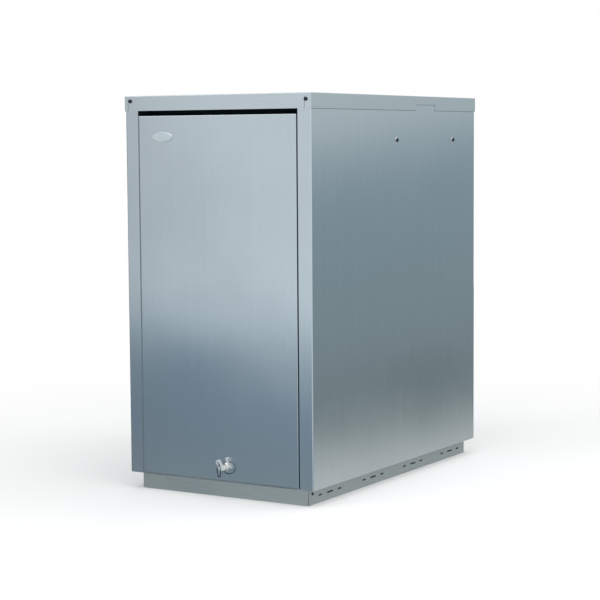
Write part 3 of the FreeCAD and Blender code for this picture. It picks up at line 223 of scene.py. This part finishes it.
def make_studio():
    """Three lights, and a pale floor and backdrop that the steel, which reflects the world, doesn't see."""
    bpy.ops.mesh.primitive_circle_add(vertices=96, radius=FLOOR_RADIUS, fill_type="NGON")
    floor = bpy.context.object
    floor.name = "floor"
    floor.data.materials.append(pale_floor())
    hide_from_steel(floor, by_diffuse=True)
    bpy.ops.mesh.primitive_uv_sphere_add(segments=64, ring_count=32, radius=BACKDROP_RADIUS)
    dome = bpy.context.object
    dome.name = "backdrop"
    dome.data.materials.append(glow("studio_backdrop", 1.0))
    hide_from_steel(dome)
    area_light("overhead", (0.3, -0.6, 3.4), (0, 0, 0.4), (3.0, 3.0), 40)
    area_light("key", (-2.6, -3.2, 2.6), (0, -0.2, 0.5), (2.0, 2.0), 28)
    area_light("fill", (3.0, 1.8, 2.4), (0, 0, 0.5), (2.0, 2.0), 22)


def glow(name, strength):
    """A plain white emission."""
    material = bpy.data.materials.new(name)
    material.use_nodes = True
    nodes, link = nodes_of(material.node_tree)
    emission = nodes.new("ShaderNodeEmission")
    emission.inputs["Color"].default_value = (1, 1, 1, 1)
    emission.inputs["Strength"].default_value = strength
    link(emission.outputs[0], nodes.new("ShaderNodeOutputMaterial").inputs["Surface"])
    return material


def pale_floor():
    """Near the object a matt floor that takes its soft shadow; further out it glows like the backdrop."""
    material = bpy.data.materials.new("studio_floor")
    material.use_nodes = True
    nodes, link = nodes_of(material.node_tree)
    new_node = nodes.new
    gradient = new_node("ShaderNodeTexGradient")
    gradient.gradient_type = "SPHERICAL"
    scaled = new_node("ShaderNodeMapping")
    scaled.inputs["Scale"].default_value = (0.5, 0.5, 0.5)
    link(new_node("ShaderNodeTexCoord").outputs["Object"], scaled.inputs["Vector"])
    link(scaled.outputs["Vector"], gradient.inputs["Vector"])
    fade = [(0.0, (0, 0, 0)), (0.55, (0.8, 0.8, 0.8))]
    near = ramp(new_node, link, gradient.outputs["Fac"], fade, "EASE")
    matt = new_node("ShaderNodeBsdfDiffuse")
    matt.inputs["Color"].default_value = (0.93, 0.93, 0.93, 1)
    shine = new_node("ShaderNodeEmission")
    shine.inputs["Color"].default_value = (1, 1, 1, 1)
    mix = new_node("ShaderNodeMixShader")
    link(near, mix.inputs[0])
    link(shine.outputs[0], mix.inputs[1])
    link(matt.outputs[0], mix.inputs[2])
    link(mix.outputs[0], new_node("ShaderNodeOutputMaterial").inputs["Surface"])
    return material


# Materials -------------------------------------------------------------------------------------

def noise(new_node, link, place, scale, detail=3, roughness=0.5, stretch=None):
    """A noise field over object coordinates, stretched along an axis by a mapping."""
    if stretch:
        mapping = new_node("ShaderNodeMapping")
        mapping.inputs["Scale"].default_value = stretch
        link(place, mapping.inputs["Vector"])
        place = mapping.outputs["Vector"]
    node = new_node("ShaderNodeTexNoise")
    node.inputs["Scale"].default_value = scale
    node.inputs["Detail"].default_value = detail
    node.inputs["Roughness"].default_value = roughness
    link(place, node.inputs["Vector"])
    return node.outputs["Fac"]


def spread(new_node, link, source, low, high, start=0.3, end=0.7):
    """Map the middle of a noise field onto a range."""
    node = new_node("ShaderNodeMapRange")
    for socket, value in zip(("From Min", "From Max", "To Min", "To Max"), (start, end, low, high)):
        node.inputs[socket].default_value = value
    link(source, node.inputs["Value"])
    return node.outputs["Result"]


def bump(new_node, link, height, distance, strength=1.0, after=None):
    """Surface relief from a height field, laid over an earlier bump if one is given."""
    node = new_node("ShaderNodeBump")
    node.inputs["Strength"].default_value = strength
    node.inputs["Distance"].default_value = distance
    link(height, node.inputs["Height"])
    if after is not None:
        link(after, node.inputs["Normal"])
    return node.outputs["Normal"]


def brushed_steel(name, colour, roughness=0.125, grain=(900, 900, 24), waves=1.0, tint=0.03, along="Z"):
    """Brushed sheet: fine drawn grain, faint broad streaks, and the slight waves of thin sheet metal."""
    material = bpy.data.materials.new(name)
    material.use_nodes = True
    tree = material.node_tree
    new_node, link = tree.nodes.new, tree.links.new
    shader = tree.nodes["Principled BSDF"]
    shader.inputs["Metallic"].default_value = 1
    if along:
        shader.inputs["Anisotropic"].default_value = 0.9
        across = new_node("ShaderNodeTangent")
        across.direction_type = "RADIAL"
        across.axis = along
        link(across.outputs[0], shader.inputs["Tangent"])
    place = new_node("ShaderNodeTexCoord").outputs["Object"]
    fine = noise(new_node, link, place, 1, 4, 0.6, grain)
    broad = noise(new_node, link, place, 1, 3, 0.5, tuple(axis / 12 for axis in grain))
    cloud = noise(new_node, link, place, 3.1, 4, 0.55)
    streaks = maths(new_node, link, "MULTIPLY_ADD", fine, 0.8)
    link(maths(new_node, link, "MULTIPLY", broad, 0.2), streaks.node.inputs[2])
    low = tuple(channel * (1 - tint) for channel in colour)
    high = tuple(min(1, channel * (1 + tint)) for channel in colour)
    link(ramp(new_node, link, streaks, [(0.35, low), (0.65, high)]), shader.inputs["Base Color"])
    smear = maths(new_node, link, "MULTIPLY_ADD", cloud, 0.85)
    link(maths(new_node, link, "MULTIPLY", streaks, 0.15), smear.node.inputs[2])
    uneven = spread(new_node, link, smear, roughness * 0.85, roughness * 1.2, 0.35, 0.65)
    link(uneven, shader.inputs["Roughness"])
    sheet = noise(new_node, link, place, 2.3, 1, 0.4)
    waved = bump(new_node, link, sheet, 0.0012 * waves)
    link(bump(new_node, link, fine, 0.0000015, 1.0, waved), shader.inputs["Normal"])
    return material


def metal(name, colour, roughness=0.3, mottle=0.12, grit=120, relief=0.00004):
    """Plain or cast metal: mottled colour, uneven shine and a fine surface relief."""
    material = bpy.data.materials.new(name)
    material.use_nodes = True
    tree = material.node_tree
    new_node, link = tree.nodes.new, tree.links.new
    shader = tree.nodes["Principled BSDF"]
    shader.inputs["Metallic"].default_value = 1
    place = new_node("ShaderNodeTexCoord").outputs["Object"]
    patches = noise(new_node, link, place, 22, 5, 0.6)
    pits = noise(new_node, link, place, grit, 5, 0.65)
    low = tuple(channel * (1 - mottle) for channel in colour)
    high = tuple(min(1, channel * (1 + mottle)) for channel in colour)
    link(ramp(new_node, link, patches, [(0.3, low), (0.7, high)]), shader.inputs["Base Color"])
    link(spread(new_node, link, patches, roughness * 0.8, roughness * 1.25), shader.inputs["Roughness"])
    link(bump(new_node, link, pits, relief), shader.inputs["Normal"])
    return material


def coating(name, colour, roughness=0.45, peel=160, relief=0.00003, coat=0.0, mottle=0.06, specular=0.5):
    """Paint, powder coat or moulded plastic: a faint texture, small colour drift and handling marks."""
    material = bpy.data.materials.new(name)
    material.use_nodes = True
    tree = material.node_tree
    new_node, link = tree.nodes.new, tree.links.new
    shader = tree.nodes["Principled BSDF"]
    shader.inputs["Coat Weight"].default_value = coat
    shader.inputs["Specular IOR Level"].default_value = specular
    place = new_node("ShaderNodeTexCoord").outputs["Object"]
    drift = noise(new_node, link, place, 9, 4, 0.6)
    skin = noise(new_node, link, place, peel, 3, 0.5)
    low = tuple(channel * (1 - mottle) for channel in colour)
    high = tuple(min(1, channel * (1 + mottle) + 0.004) for channel in colour)
    link(ramp(new_node, link, drift, [(0.3, low), (0.7, high)]), shader.inputs["Base Color"])
    link(spread(new_node, link, drift, roughness * 0.85, roughness * 1.15), shader.inputs["Roughness"])
    link(bump(new_node, link, skin, relief), shader.inputs["Normal"])
    return material


def make_looks():
    """Every material of the object, by a short name."""
    return {
        "panel": brushed_steel("panel_steel", (0.615, 0.675, 0.715)),
        "lid": brushed_steel("lid_steel", (0.625, 0.68, 0.71), 0.2, grain=(14, 900, 900), along=None),
        "plinth": brushed_steel("plinth_steel", (0.62, 0.655, 0.645), 0.3, grain=(20, 20, 900),
                                waves=0.4, tint=0.06, along=None),
        # The plinth's own steel made darker for its sides: painted shade under the cabinet's overhang
        "plinth_side_painted_shade": brushed_steel("plinth_side_painted_shade_steel", (0.45, 0.495, 0.505), 0.34, grain=(20, 20, 900),
                                     waves=0.4, tint=0.08, along=None),
        # A dark coating for the strips under the door and under the lid's flanges: painted shadow lines
        "seam": coating("seam_shadow", (0.12, 0.15, 0.165), 0.7, peel=300, relief=0.00004, mottle=0.2,
                        specular=0.2),
        "zinc": metal("galvanised_steel", (0.50, 0.52, 0.53), 0.42, 0.2, 60),
        "screw": metal("zinc_plate", (0.72, 0.74, 0.75), 0.24, 0.08),
        "dark_screw": metal("dark_zinc_plate", (0.05, 0.06, 0.07), 0.35, 0.2),
        "dark_ring": metal("dark_steel_wire", (0.05, 0.06, 0.07), 0.3, 0.2, 400),
        "badge": brushed_steel("badge_satin", (0.745, 0.825, 0.84), 0.36, grain=(8, 900, 900),
                               waves=0.0, tint=0.06, along=None),
        "lock": metal("nickel_plate", (0.80, 0.81, 0.80), 0.16, 0.05),
        "key": metal("key_nickel", (0.86, 0.87, 0.86), 0.30, 0.08, 300),
        "drum": brushed_steel("drum_steel", (0.58, 0.57, 0.55), 0.3, grain=(10, 700, 10),
                              waves=0.6, tint=0.10, along=None),
        "weld": metal("weld_bead", (0.42, 0.40, 0.38), 0.4, mottle=0.3, grit=500, relief=0.0003),
        "cast": metal("cast_alloy", (0.52, 0.53, 0.54), 0.5, grit=260, relief=0.0002),
        "fan": metal("fan_alloy", (0.60, 0.61, 0.62), 0.42, mottle=0.08, grit=200, relief=0.0001),
        "black": coating("black_moulding", (0.025, 0.025, 0.028), 0.45),
        # Black rubber, its navy tint set to the dark of the door's gaps: also painted shade where it fills
        # gaps and slots
        "rubber_and_painted_shade": coating("black_rubber_and_painted_shade", (0.008, 0.022, 0.032), 0.7, peel=300, relief=0.00006, mottle=0.2,
                          specular=0.2),
        # Grey rubber for the left door gap: a paler painted shade
        "pale_gap_shade_rubber": coating("pale_gap_shade_rubber", (0.19, 0.23, 0.25), 0.6, peel=300, relief=0.00004, mottle=0.1,
                               specular=0.3),
        "motor": coating("motor_paint", (0.03, 0.032, 0.036), 0.35, coat=0.2),
        "ceramic": coating("ceramic", (0.85, 0.83, 0.77), 0.2, coat=0.5),
        "white": coating("white_plastic", (0.78, 0.78, 0.75), 0.42),
        "copper": metal("copper_tube", (0.80, 0.42, 0.27), 0.26, 0.18, 90),
        "brass": metal("brass", (0.80, 0.62, 0.30), 0.25, 0.1),
        "pvc": coating("grey_pvc", (0.21, 0.23, 0.25), 0.42),
        "pump": coating("pump_paint", (0.38, 0.03, 0.025), 0.38, coat=0.25),
        "vessel": coating("vessel_paint", (0.45, 0.035, 0.03), 0.32, coat=0.3),
        "yellow": coating("gas_paint", (0.75, 0.50, 0.03), 0.4),
        "powder": coating("powder_coat", (0.20, 0.22, 0.24), 0.5, 420, 0.00008),
        "red": coating("red_plastic", (0.55, 0.02, 0.015), 0.28),
        "amber": coating("amber_lens", (0.85, 0.33, 0.02), 0.1, coat=0.6),
        "foil": metal("foil_facing", (0.70, 0.71, 0.72), 0.3, mottle=0.06, grit=70, relief=0.0012),
    }


NODE_LOOKS = {
    "panel": ("side_panel_left", "side_panel_right", "rear_panel_upper", "rear_panel_lower", "door_panel",
              "flue_terminal"),
    "lid": ("lid",),
    "plinth": ("plinth_front", "plinth_rear"),
    "plinth_side_painted_shade": ("plinth_left", "plinth_right"),
    "zinc": ("base_tray", "header_rail", "drum_cradle", "door_hooks"),
    "screw": ("rear_screws", "hook_rod", "lock_cam"),
    "dark_screw": ("lid_screws", "side_screws"),
    "dark_ring": ("key_ring", "plinth_screws"),
    "badge": ("badge",),
    "lock": ("lock_barrel", "lock_nut", "lock_plug"),
    "key": ("key",),
    "drum": ("heat_exchanger", "burner_tube", "plate_exchanger"),
    "cast": ("burner_door", "pump_housing"),
    "fan": ("fan_housing", "fan_impeller", "gas_valve"),
    "black": ("flow_switch", "pressure_gauge", "cable_gland", "pump_impeller", "control_knob"),
    "motor": ("fan_motor",),
    "ceramic": ("ignition_electrode",),
    "white": ("flue_duct", "condensate_trap", "condensate_pipe"),
    "copper": ("primary_flow_pipe", "primary_return_pipe"),
    "brass": ("gas_cock", "relief_valve"),
    "pvc": ("pool_inlet_pipe", "pool_outlet_pipe"),
    "pump": ("pump_motor",),
    "vessel": ("expansion_vessel",),
    "yellow": ("gas_pipe", "gas_cock_lever"),
    "powder": ("control_box",),
    "red": ("relief_cap", "power_switch", "reset_button"),
    "amber": ("indicator_lamp",),
}


def dress_nodes(looks):
    """Give every CAD node its material."""
    for look, names in NODE_LOOKS.items():
        for name in names:
            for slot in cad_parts[name].material_slots:
                slot.material = looks[look]
    missing = set(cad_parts) - {name for names in NODE_LOOKS.values() for name in names}
    if missing:
        raise RuntimeError(f"nodes without a material: {sorted(missing)}")


# Pieces ----------------------------------------------------------------------------------------

SHARP_ANGLE = 38        # degrees between faces, past which an edge isn't smoothed
CORNER_STEPS = 4


def piece(name, mesh, material, body):
    """Turn a finished mesh into a piece that rides on a body and wears a material."""
    bmesh.ops.recalc_face_normals(mesh, faces=mesh.faces)
    data = bpy.data.meshes.new(name)
    mesh.to_mesh(data)
    mesh.free()
    data.materials.append(material)
    data.shade_smooth()
    data.set_sharp_from_angle(angle=math.radians(SHARP_ANGLE))
    thing = bpy.data.objects.new(name, data)
    scene.collection.objects.link(thing)
    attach(thing, body)


AXES = {"x": Vector((1, 0, 0)), "y": Vector((0, 1, 0)), "z": Vector((0, 0, 1))}


def lathe(mesh, profile, centre, axis, steps=48, closed=False):
    """Turn a profile of (radius, height along the axis) about an axis through a centre."""
    up = AXES[axis]
    side = AXES["y" if axis == "x" else "x"]
    other = up.cross(side)
    rings = []
    for step in range(steps):
        turn = 2 * math.pi * step / steps
        outward = side * math.cos(turn) + other * math.sin(turn)
        rings.append([mesh.verts.new(Vector(centre) + outward * radius + up * height)
                      for radius, height in profile])
    count = len(profile)
    for ring, following in zip(rings, rings[1:] + rings[:1]):
        for low in range(count if closed else count - 1):
            high = (low + 1) % count
            mesh.faces.new((ring[low], following[low], following[high], ring[high]))
    bmesh.ops.remove_doubles(mesh, verts=[vert for ring in rings for vert in ring], dist=1e-6)


def prism(mesh, outline, axis, start, end):
    """Sweep an outline of (first, second) coordinates along an axis; the coordinates keep x, y, z order."""
    index = "xyz".index(axis)
    ends = []
    for place in (start, end):
        ring = []
        for pair in outline:
            point = list(pair)
            point.insert(index, place)
            ring.append(mesh.verts.new(point))
        ends.append(ring)
    for first, second in zip(range(len(outline)), [*range(1, len(outline)), 0]):
        mesh.faces.new((ends[0][first], ends[0][second], ends[1][second], ends[1][first]))
    for ring in ends:
        mesh.faces.new(ring)


def block(mesh, low, high, bevel):
    """A box with rounded edges."""
    corners = bmesh.ops.create_cube(mesh, size=1)["verts"]
    middle, size = (Vector(low) + Vector(high)) / 2, Vector(high) - Vector(low)
    for vert in corners:
        vert.co = middle + Vector(part * whole for part, whole in zip(vert.co, size))
    edges = {edge for vert in corners for edge in vert.link_edges}
    bmesh.ops.bevel(mesh, geom=list(edges), offset=bevel, segments=3, profile=0.5, affect="EDGES")


def rounded(low, high, radius):
    """The outline of a rounded rectangle between two corner points."""
    corners = ((high[0] - radius, high[1] - radius, 0), (low[0] + radius, high[1] - radius, 90),
               (low[0] + radius, low[1] + radius, 180), (high[0] - radius, low[1] + radius, 270))
    return [(x + radius * math.cos(math.radians(first + 90 * step / CORNER_STEPS)),
             y + radius * math.sin(math.radians(first + 90 * step / CORNER_STEPS)))
            for x, y, first in corners for step in range(CORNER_STEPS + 1)]


def nut(mesh, centre, axis, across, tall, bolt, sign=1):
    """A chamfered hexagon nut with its washer and a bolt end; it stands off its face along the axis."""
    corner = across / math.sqrt(3)
    washer = [(bolt, 0), (across * 0.62, 0), (across * 0.62, sign * tall * 0.2), (bolt, sign * tall * 0.2)]
    lathe(mesh, washer, centre, axis, 28, closed=True)
    low, high = sign * tall * 0.2, sign * tall * 1.2
    body = [(bolt, low), (corner * 0.97, low), (corner, low + (high - low) * 0.1),
            (corner, low + (high - low) * 0.85), (corner * 0.9, high), (bolt, high)]
    lathe(mesh, body, centre, axis, 6, closed=True)
    end = [(0, sign * tall * 1.5), (bolt * 0.8, sign * tall * 1.5), (bolt, sign * tall * 1.4), (bolt, 0)]
    lathe(mesh, end, centre, axis, 20)


def spoke(degrees):
    """The outward and the sideways direction at an angle on a round face that looks to the front."""
    turn = math.radians(degrees)
    return Vector((math.cos(turn), 0, math.sin(turn))), Vector((-math.sin(turn), 0, math.cos(turn)))


def dial_mark(mesh, hub, degrees, inner, outer, half_width):
    """A flat radial mark between two radii about a hub."""
    outward, aside = spoke(degrees)
    corners = [hub + outward * reach + aside * half_width * way
               for reach, way in ((inner, -1), (outer, -1), (outer, 1), (inner, 1))]
    mesh.faces.new([mesh.verts.new(corner) for corner in corners])


# Sizes inside a node, which its box doesn't give: metres, like the frame
STILE_WIDTH = 0.034
HEADER_SHEET = 0.0016       # its metal and a little air
SIDE_SCREW_RADIUS = 0.0054
WINDOW_LOW, WINDOW_HIGH = (-0.226, 0.064), (-0.080, 0.392)
LID_NOTCH = (0.082, 0.180, 0.0135)      # its front, its rear and its height over the flange's edge

# Both dials turn clockwise through the same sweep, in degrees
DIAL_START, DIAL_SWEEP = 225, 270
GAUGE_STEPS = 24
SCALE_STEPS = 18
NEEDLE_AT = 150

KNOB_RIBS = 24
BURNER_NUTS = 10
MOTOR_FINS = 9
EXCHANGER_PLATES = 22


def make_door_trim_and_gap_shade(looks):
    """The dark skirt behind the gap over the door, a seal that also serves as painted shade, the painted
    shadow strip under the door and the dark strips down its sides, painted shade in its gaps.
    """
    door_low, door_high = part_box("door_panel")
    header_low, header_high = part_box("header_rail")
    _, side_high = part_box("side_panel_right")
    reveal = side_high.x - STILE_WIDTH
    thickness = 0.0012
    rear = header_high.y - HEADER_SHEET
    low, high = door_high.z - 0.002, header_high.z - HEADER_SHEET - 0.0001
    # A dark seal on the header rail, partly painted shade in the gap over the door
    top_seal_and_shade = bmesh.new()
    block(top_seal_and_shade, (-reveal - thickness, rear - thickness, low), (reveal + thickness, rear, high), 0.0002)
    for inner, outer in ((reveal, reveal + thickness), (-reveal - thickness, -reveal)):
        block(top_seal_and_shade, (inner, header_low.y, low), (outer, rear - thickness, high), 0.0002)
    piece("door_top_seal_and_painted_shade", top_seal_and_shade, looks["rubber_and_painted_shade"], "cabinet")
    # A dark strip along the door's bottom edge: painted shadow under the door
    shadow_strip = bmesh.new()
    front = door_low.y
    low = door_low.z
    prism(shadow_strip, [(front - 0.0006, low), (front + 0.0015, low), (front + 0.0015, low + 0.0022),
                 (front - 0.0002, low + 0.0032), (front - 0.0006, low + 0.0026)],
          "x", door_low.x + 0.002, door_high.x - 0.002)
    piece("door_bottom_painted_shadow", shadow_strip, looks["seam"], "door")
    # The left gap shows paler than the right one, so its strip is grey: both side strips are painted shade
    # in the gaps, the left one paler
    for side, stile, edge, look in (("right", reveal, door_high.x + 0.0004, "rubber_and_painted_shade"),
                                    ("left", -reveal, door_low.x - 0.0004, "pale_gap_shade_rubber")):
        gap_shade = bmesh.new()
        inner, outer = sorted((stile, edge))
        front = door_low.y + 0.0010
        block(gap_shade, (inner, front, door_low.z + 0.002), (outer, front + 0.006, door_high.z), 0.0003)
        piece(f"door_gap_painted_shade_{side}", gap_shade, looks[look], "cabinet")


def make_lid_shadow_strip(looks):
    """A dark strip under the edge of the lid's side flanges, a painted shadow line; on the right it steps
    up over the notch.
    """
    lid_low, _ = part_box("lid")
    side_low, side_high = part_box("side_panel_right")
    notch_low, notch_high, notch_tall = LID_NOTCH
    notch_top = lid_low.z + notch_tall
    front, rear = side_low.y + 0.001, side_high.y - 0.001
    runs = {-1: ((front, rear, lid_low.z),),
            1: ((front, notch_low, lid_low.z), (notch_low, notch_high, notch_top),
                (notch_high, rear, lid_low.z))}
    lip_shadow = bmesh.new()
    for sign in (-1, 1):
        face = sign * side_high.x
        outer = sign * (side_high.x + 0.0009)
        for first, last, level in runs[sign]:
            prism(lip_shadow, [(face, level - 0.0011), (outer - sign * 0.0004, level - 0.0011),
                        (outer, level - 0.0006), (outer, level + 0.0002), (face, level + 0.0002)],
                  "y", first, last)
    piece("lid_lip_painted_shadow", lip_shadow, looks["seam"], "cabinet")


def make_gauge(looks):
    """A pale dial with graduations, a needle on its hub and a chromed bezel."""
    low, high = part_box("pressure_gauge")
    centre = Vector(((low.x + high.x) / 2, low.y, (low.z + high.z) / 2))
    radius = (high.x - low.x) / 2
    bezel = bmesh.new()
    lathe(bezel, [(radius * 0.86, 0.001), (radius * 0.86, -0.0012), (radius * 0.90, -0.0022),
                  (radius * 0.97, -0.0022), (radius + 0.0008, -0.0010), (radius + 0.0008, 0.003),
                  (radius * 0.99, 0.003)], centre, "y", 64)
    piece("gauge_bezel", bezel, looks["lock"], "cabinet")
    dial = bmesh.new()
    lathe(dial, [(0, -0.0005), (radius * 0.85, -0.0005), (radius * 0.86, 0.0003)], centre, "y", 64)
    piece("gauge_dial", dial, looks["white"], "cabinet")
    marks = bmesh.new()
    mark_end = 0.78
    for index in range(GAUGE_STEPS + 1):
        length, half = (0.16, 0.0006) if index % 4 == 0 else (0.09, 0.0003)
        dial_mark(marks, centre - Vector((0, 0.0007, 0)), DIAL_START - DIAL_SWEEP * index / GAUGE_STEPS,
                  radius * (mark_end - length), radius * mark_end, half)
    piece("gauge_marks", marks, looks["black"], "cabinet")
    needle = bmesh.new()
    outward, aside = spoke(NEEDLE_AT)
    shape = ((-0.22, -0.0010), (0.55, -0.0006), (0.68, 0), (0.55, 0.0006), (-0.22, 0.0010))
    outline = [centre + outward * radius * reach + aside * half - Vector((0, 0.0012, 0))
               for reach, half in shape]
    face = needle.faces.new([needle.verts.new(point) for point in outline])
    grown = bmesh.ops.extrude_face_region(needle, geom=[face])["geom"]
    bmesh.ops.translate(needle, vec=(0, -0.0004, 0),
                        verts=[part for part in grown if isinstance(part, bmesh.types.BMVert)])
    lathe(needle, [(0, -0.0026), (radius * 0.08, -0.0024), (radius * 0.10, -0.0005)], centre, "y", 24)
    piece("gauge_needle", needle, looks["red"], "cabinet")


def make_knob_marks(looks):
    """Grip ribs and a pointer on the thermostat knob, and a graduated ring behind it."""
    low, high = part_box("control_knob")
    box_low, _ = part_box("control_box")
    centre = Vector(((low.x + high.x) / 2, low.y, (low.z + high.z) / 2))
    radius = (high.x - low.x) / 2
    ribs = bmesh.new()
    for index in range(KNOB_RIBS):
        outward, _ = spoke(360 * index / KNOB_RIBS)
        spot = centre + outward * (radius - 0.0002)
        lathe(ribs, [(0, 0.0020), (0.0007, 0.0024), (0.0009, 0.0034), (0.0009, 0.0095), (0, 0.0105)],
              spot, "y", 8)
    piece("knob_ribs", ribs, looks["black"], "thermostat")
    pointer = bmesh.new()
    block(pointer, centre + Vector((-0.0009, -0.0007, radius * 0.25)),
          centre + Vector((0.0009, 0.0004, radius * 0.88)), 0.0003)
    piece("knob_pointer", pointer, looks["white"], "thermostat")
    marks = bmesh.new()
    hub = Vector((centre.x, box_low.y - 0.0003, centre.z))
    mark_start = radius + 0.0025
    for index in range(SCALE_STEPS + 1):
        length, half = (0.0050, 0.0006) if index % 3 == 0 else (0.0028, 0.0004)
        dial_mark(marks, hub, DIAL_START - DIAL_SWEEP * index / SCALE_STEPS,
                  mark_start, mark_start + length, half)
    piece("knob_scale", marks, looks["white"], "cabinet")


def make_burner_fittings(looks):
    """Nuts round the burner door, its gasket and the weld beads of the drum."""
    low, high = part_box("burner_door")
    drum_low, drum_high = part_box("heat_exchanger")
    middle = (low + high) / 2
    door_radius = (high.x - low.x) / 2
    nuts = bmesh.new()
    for index in range(BURNER_NUTS):
        outward, _ = spoke(360 * (index + 0.5) / BURNER_NUTS)
        spot = middle + outward * (door_radius - 0.011)
        spot.y = high.y - 0.016
        nut(nuts, spot, "y", 0.013, 0.006, 0.0035, -1)
    piece("burner_door_nuts", nuts, looks["screw"], "cabinet")
    gasket = bmesh.new()
    lathe(gasket, [(door_radius - 0.0005, -0.0015), (door_radius + 0.0008, -0.0010),
                   (door_radius + 0.0008, 0.0010), (door_radius - 0.0005, 0.0015)],
          (middle.x, high.y, middle.z), "y", 96, closed=True)
    piece("burner_gasket", gasket, looks["rubber_and_painted_shade"], "cabinet")
    beads = bmesh.new()
    shell = door_radius - 0.006
    for place in (drum_low.y + 0.004, drum_high.y - 0.034):
        lathe(beads, [(shell, 0), (shell + 0.0012, 0.0006), (shell + 0.0014, 0.0016),
                      (shell + 0.0006, 0.0028), (shell, 0.0030)], (middle.x, place, middle.z), "y", 128)
    piece("drum_weld_beads", beads, looks["weld"], "cabinet")


def make_motor_details(looks):
    """Cooling fins and a stepped end cap on both motors."""
    for name, look, slot in (("fan_motor", "motor", "motor_black"), ("pump_motor", "pump", "pump_red")):
        low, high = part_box(name)
        radius = (high.x - low.x) / 2
        depth = high.y - low.y
        centre = Vector(((low.x + high.x) / 2, low.y, high.z - radius))
        fins = bmesh.new()
        for index in range(MOTOR_FINS):
            start = depth * (0.14 + 0.085 * index)
            lathe(fins, [(radius - 0.0015, start), (radius + 0.0016, start + 0.0004),
                         (radius + 0.0018, start + 0.0012), (radius + 0.0016, start + 0.0020),
                         (radius - 0.0015, start + 0.0024)], centre, "y", 72)
        piece(f"{name}_fins", fins, looks[look], "cabinet")
        cap = bmesh.new()
        lathe(cap, [(0, -0.0016), (radius * 0.28, -0.0016), (radius * 0.32, -0.0008),
                    (radius * 0.36, -0.0002), (radius * 0.70, -0.0002), (radius * 0.74, -0.0014),
                    (radius * 0.88, -0.0014), (radius * 0.92, 0.0004)], centre, "y", 64)
        piece(f"{name}_cap", cap, looks["black"], "cabinet")


def make_water_details(looks):
    """Edges of the exchanger's pressed plates, and the union nuts of the copper pipes."""
    plate_low, plate_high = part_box("plate_exchanger")
    front, rear = plate_low.y - 0.0008, plate_high.y + 0.0008
    bottom, top = plate_low.z + 0.034, plate_high.z - 0.004
    outline = [(front, bottom), (rear, bottom), (rear, top), (front, top)]
    margin = 0.008
    pitch = (plate_high.x - plate_low.x - 2 * margin) / EXCHANGER_PLATES
    plates = bmesh.new()
    for index in range(EXCHANGER_PLATES):
        start = plate_low.x + margin + pitch * index
        prism(plates, outline, "x", start, start + pitch * 0.45)
    piece("exchanger_plates", plates, looks["drum"], "cabinet")
    unions = bmesh.new()
    flow_low, flow_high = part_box("primary_flow_pipe")
    _, back_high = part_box("primary_return_pipe")
    for x, z in ((flow_low.x / 2 + flow_high.x / 2, flow_high.z - 0.016),
                 (back_high.x - 0.0137, back_high.z - 0.012)):
        nut(unions, (x, flow_high.y - 0.0137, z), "z", 0.034, 0.012, 0.0118)
    piece("pipe_unions", unions, looks["brass"], "cabinet")


def make_small_trim(looks):
    """Washers under the side screws, a dark plate behind the plinth's slots as painted shade, the window's
    edge strip.
    """
    screws_low, screws_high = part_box("side_screws")
    _, side_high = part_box("side_panel_right")
    washers = bmesh.new()
    for sign in (-1, 1):
        face = sign * side_high.x
        for y in (screws_low.y + SIDE_SCREW_RADIUS, screws_high.y - SIDE_SCREW_RADIUS):
            spot = (face, y, (screws_low.z + screws_high.z) / 2)
            lathe(washers, [(0.0022, 0), (0.0022, sign * 0.0006), (0.0066, sign * 0.0006), (0.0070, 0)],
                  spot, "x", 28)
    piece("side_screw_washers", washers, looks["screw"], "cabinet")
    plinth_low, plinth_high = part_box("plinth_right")
    # A dark plate behind the plinth's slots: painted shade in the slots
    slot_shade_plate = bmesh.new()
    for sign in (-1, 1):
        web = sign * (plinth_high.x - 0.0016)
        inner, outer = sorted((web, web - sign * 0.0010))
        block(slot_shade_plate, (inner, plinth_low.y + 0.03, 0.008), (outer, plinth_high.y - 0.03, 0.026), 0.0002)
    piece("plinth_slot_painted_shade", slot_shade_plate, looks["rubber_and_painted_shade"], "cabinet")
    panel_low, panel_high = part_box("rear_panel_lower")
    inside, outside = panel_low.y - 0.0012, panel_high.y + 0.0014
    section = ((inside, -0.004), (outside, -0.004), (panel_high.y + 0.0020, -0.002), (outside, 0.0014),
               (inside, 0.0014))
    strip = bmesh.new()
    rims = []
    for y, inward in section:
        low_corner = [place + inward for place in WINDOW_LOW]
        outline = rounded(low_corner, [place - inward for place in WINDOW_HIGH], 0.004)
        rims.append([strip.verts.new((x, y, z)) for x, z in outline])
    for ring, following in zip(rims, rims[1:] + rims[:1]):
        for index, after in zip(range(len(ring)), [*range(1, len(ring)), 0]):
            strip.faces.new((ring[index], following[index], following[after], ring[after]))
    piece("window_edge_strip", strip, looks["rubber_and_painted_shade"], "cabinet")


def make_door_liner(looks):
    """A foil-faced insulating board in the back of the door, with its retaining washers."""
    low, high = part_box("door_panel")
    _, lock_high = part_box("lock_nut")
    inset = 0.018
    board = bmesh.new()
    prism(board, rounded((low.x + inset, lock_high.z + 0.02), (high.x - inset, high.z - 0.04), 0.012), "y",
          low.y + 0.002, high.y - 0.004)
    piece("door_liner", board, looks["foil"], "door")
    washers = bmesh.new()
    for x in (low.x + 0.08, 0.0, high.x - 0.08):
        for z in (0.18, 0.46, 0.74):
            lathe(washers, [(0, 0.0018), (0.004, 0.0016), (0.005, 0.0008), (0.014, 0.0006), (0.015, 0)],
                  (x, high.y - 0.004, z), "y", 28)
    piece("liner_washers", washers, looks["screw"], "door")


make_camera()
make_world()
make_studio()
looks = make_looks()
dress_nodes(looks)
make_door_trim_and_gap_shade(looks)
make_lid_shadow_strip(looks)
make_gauge(looks)
make_knob_marks(looks)
make_burner_fittings(looks)
make_motor_details(looks)
make_water_details(looks)
make_door_liner(looks)
make_small_trim(looks)
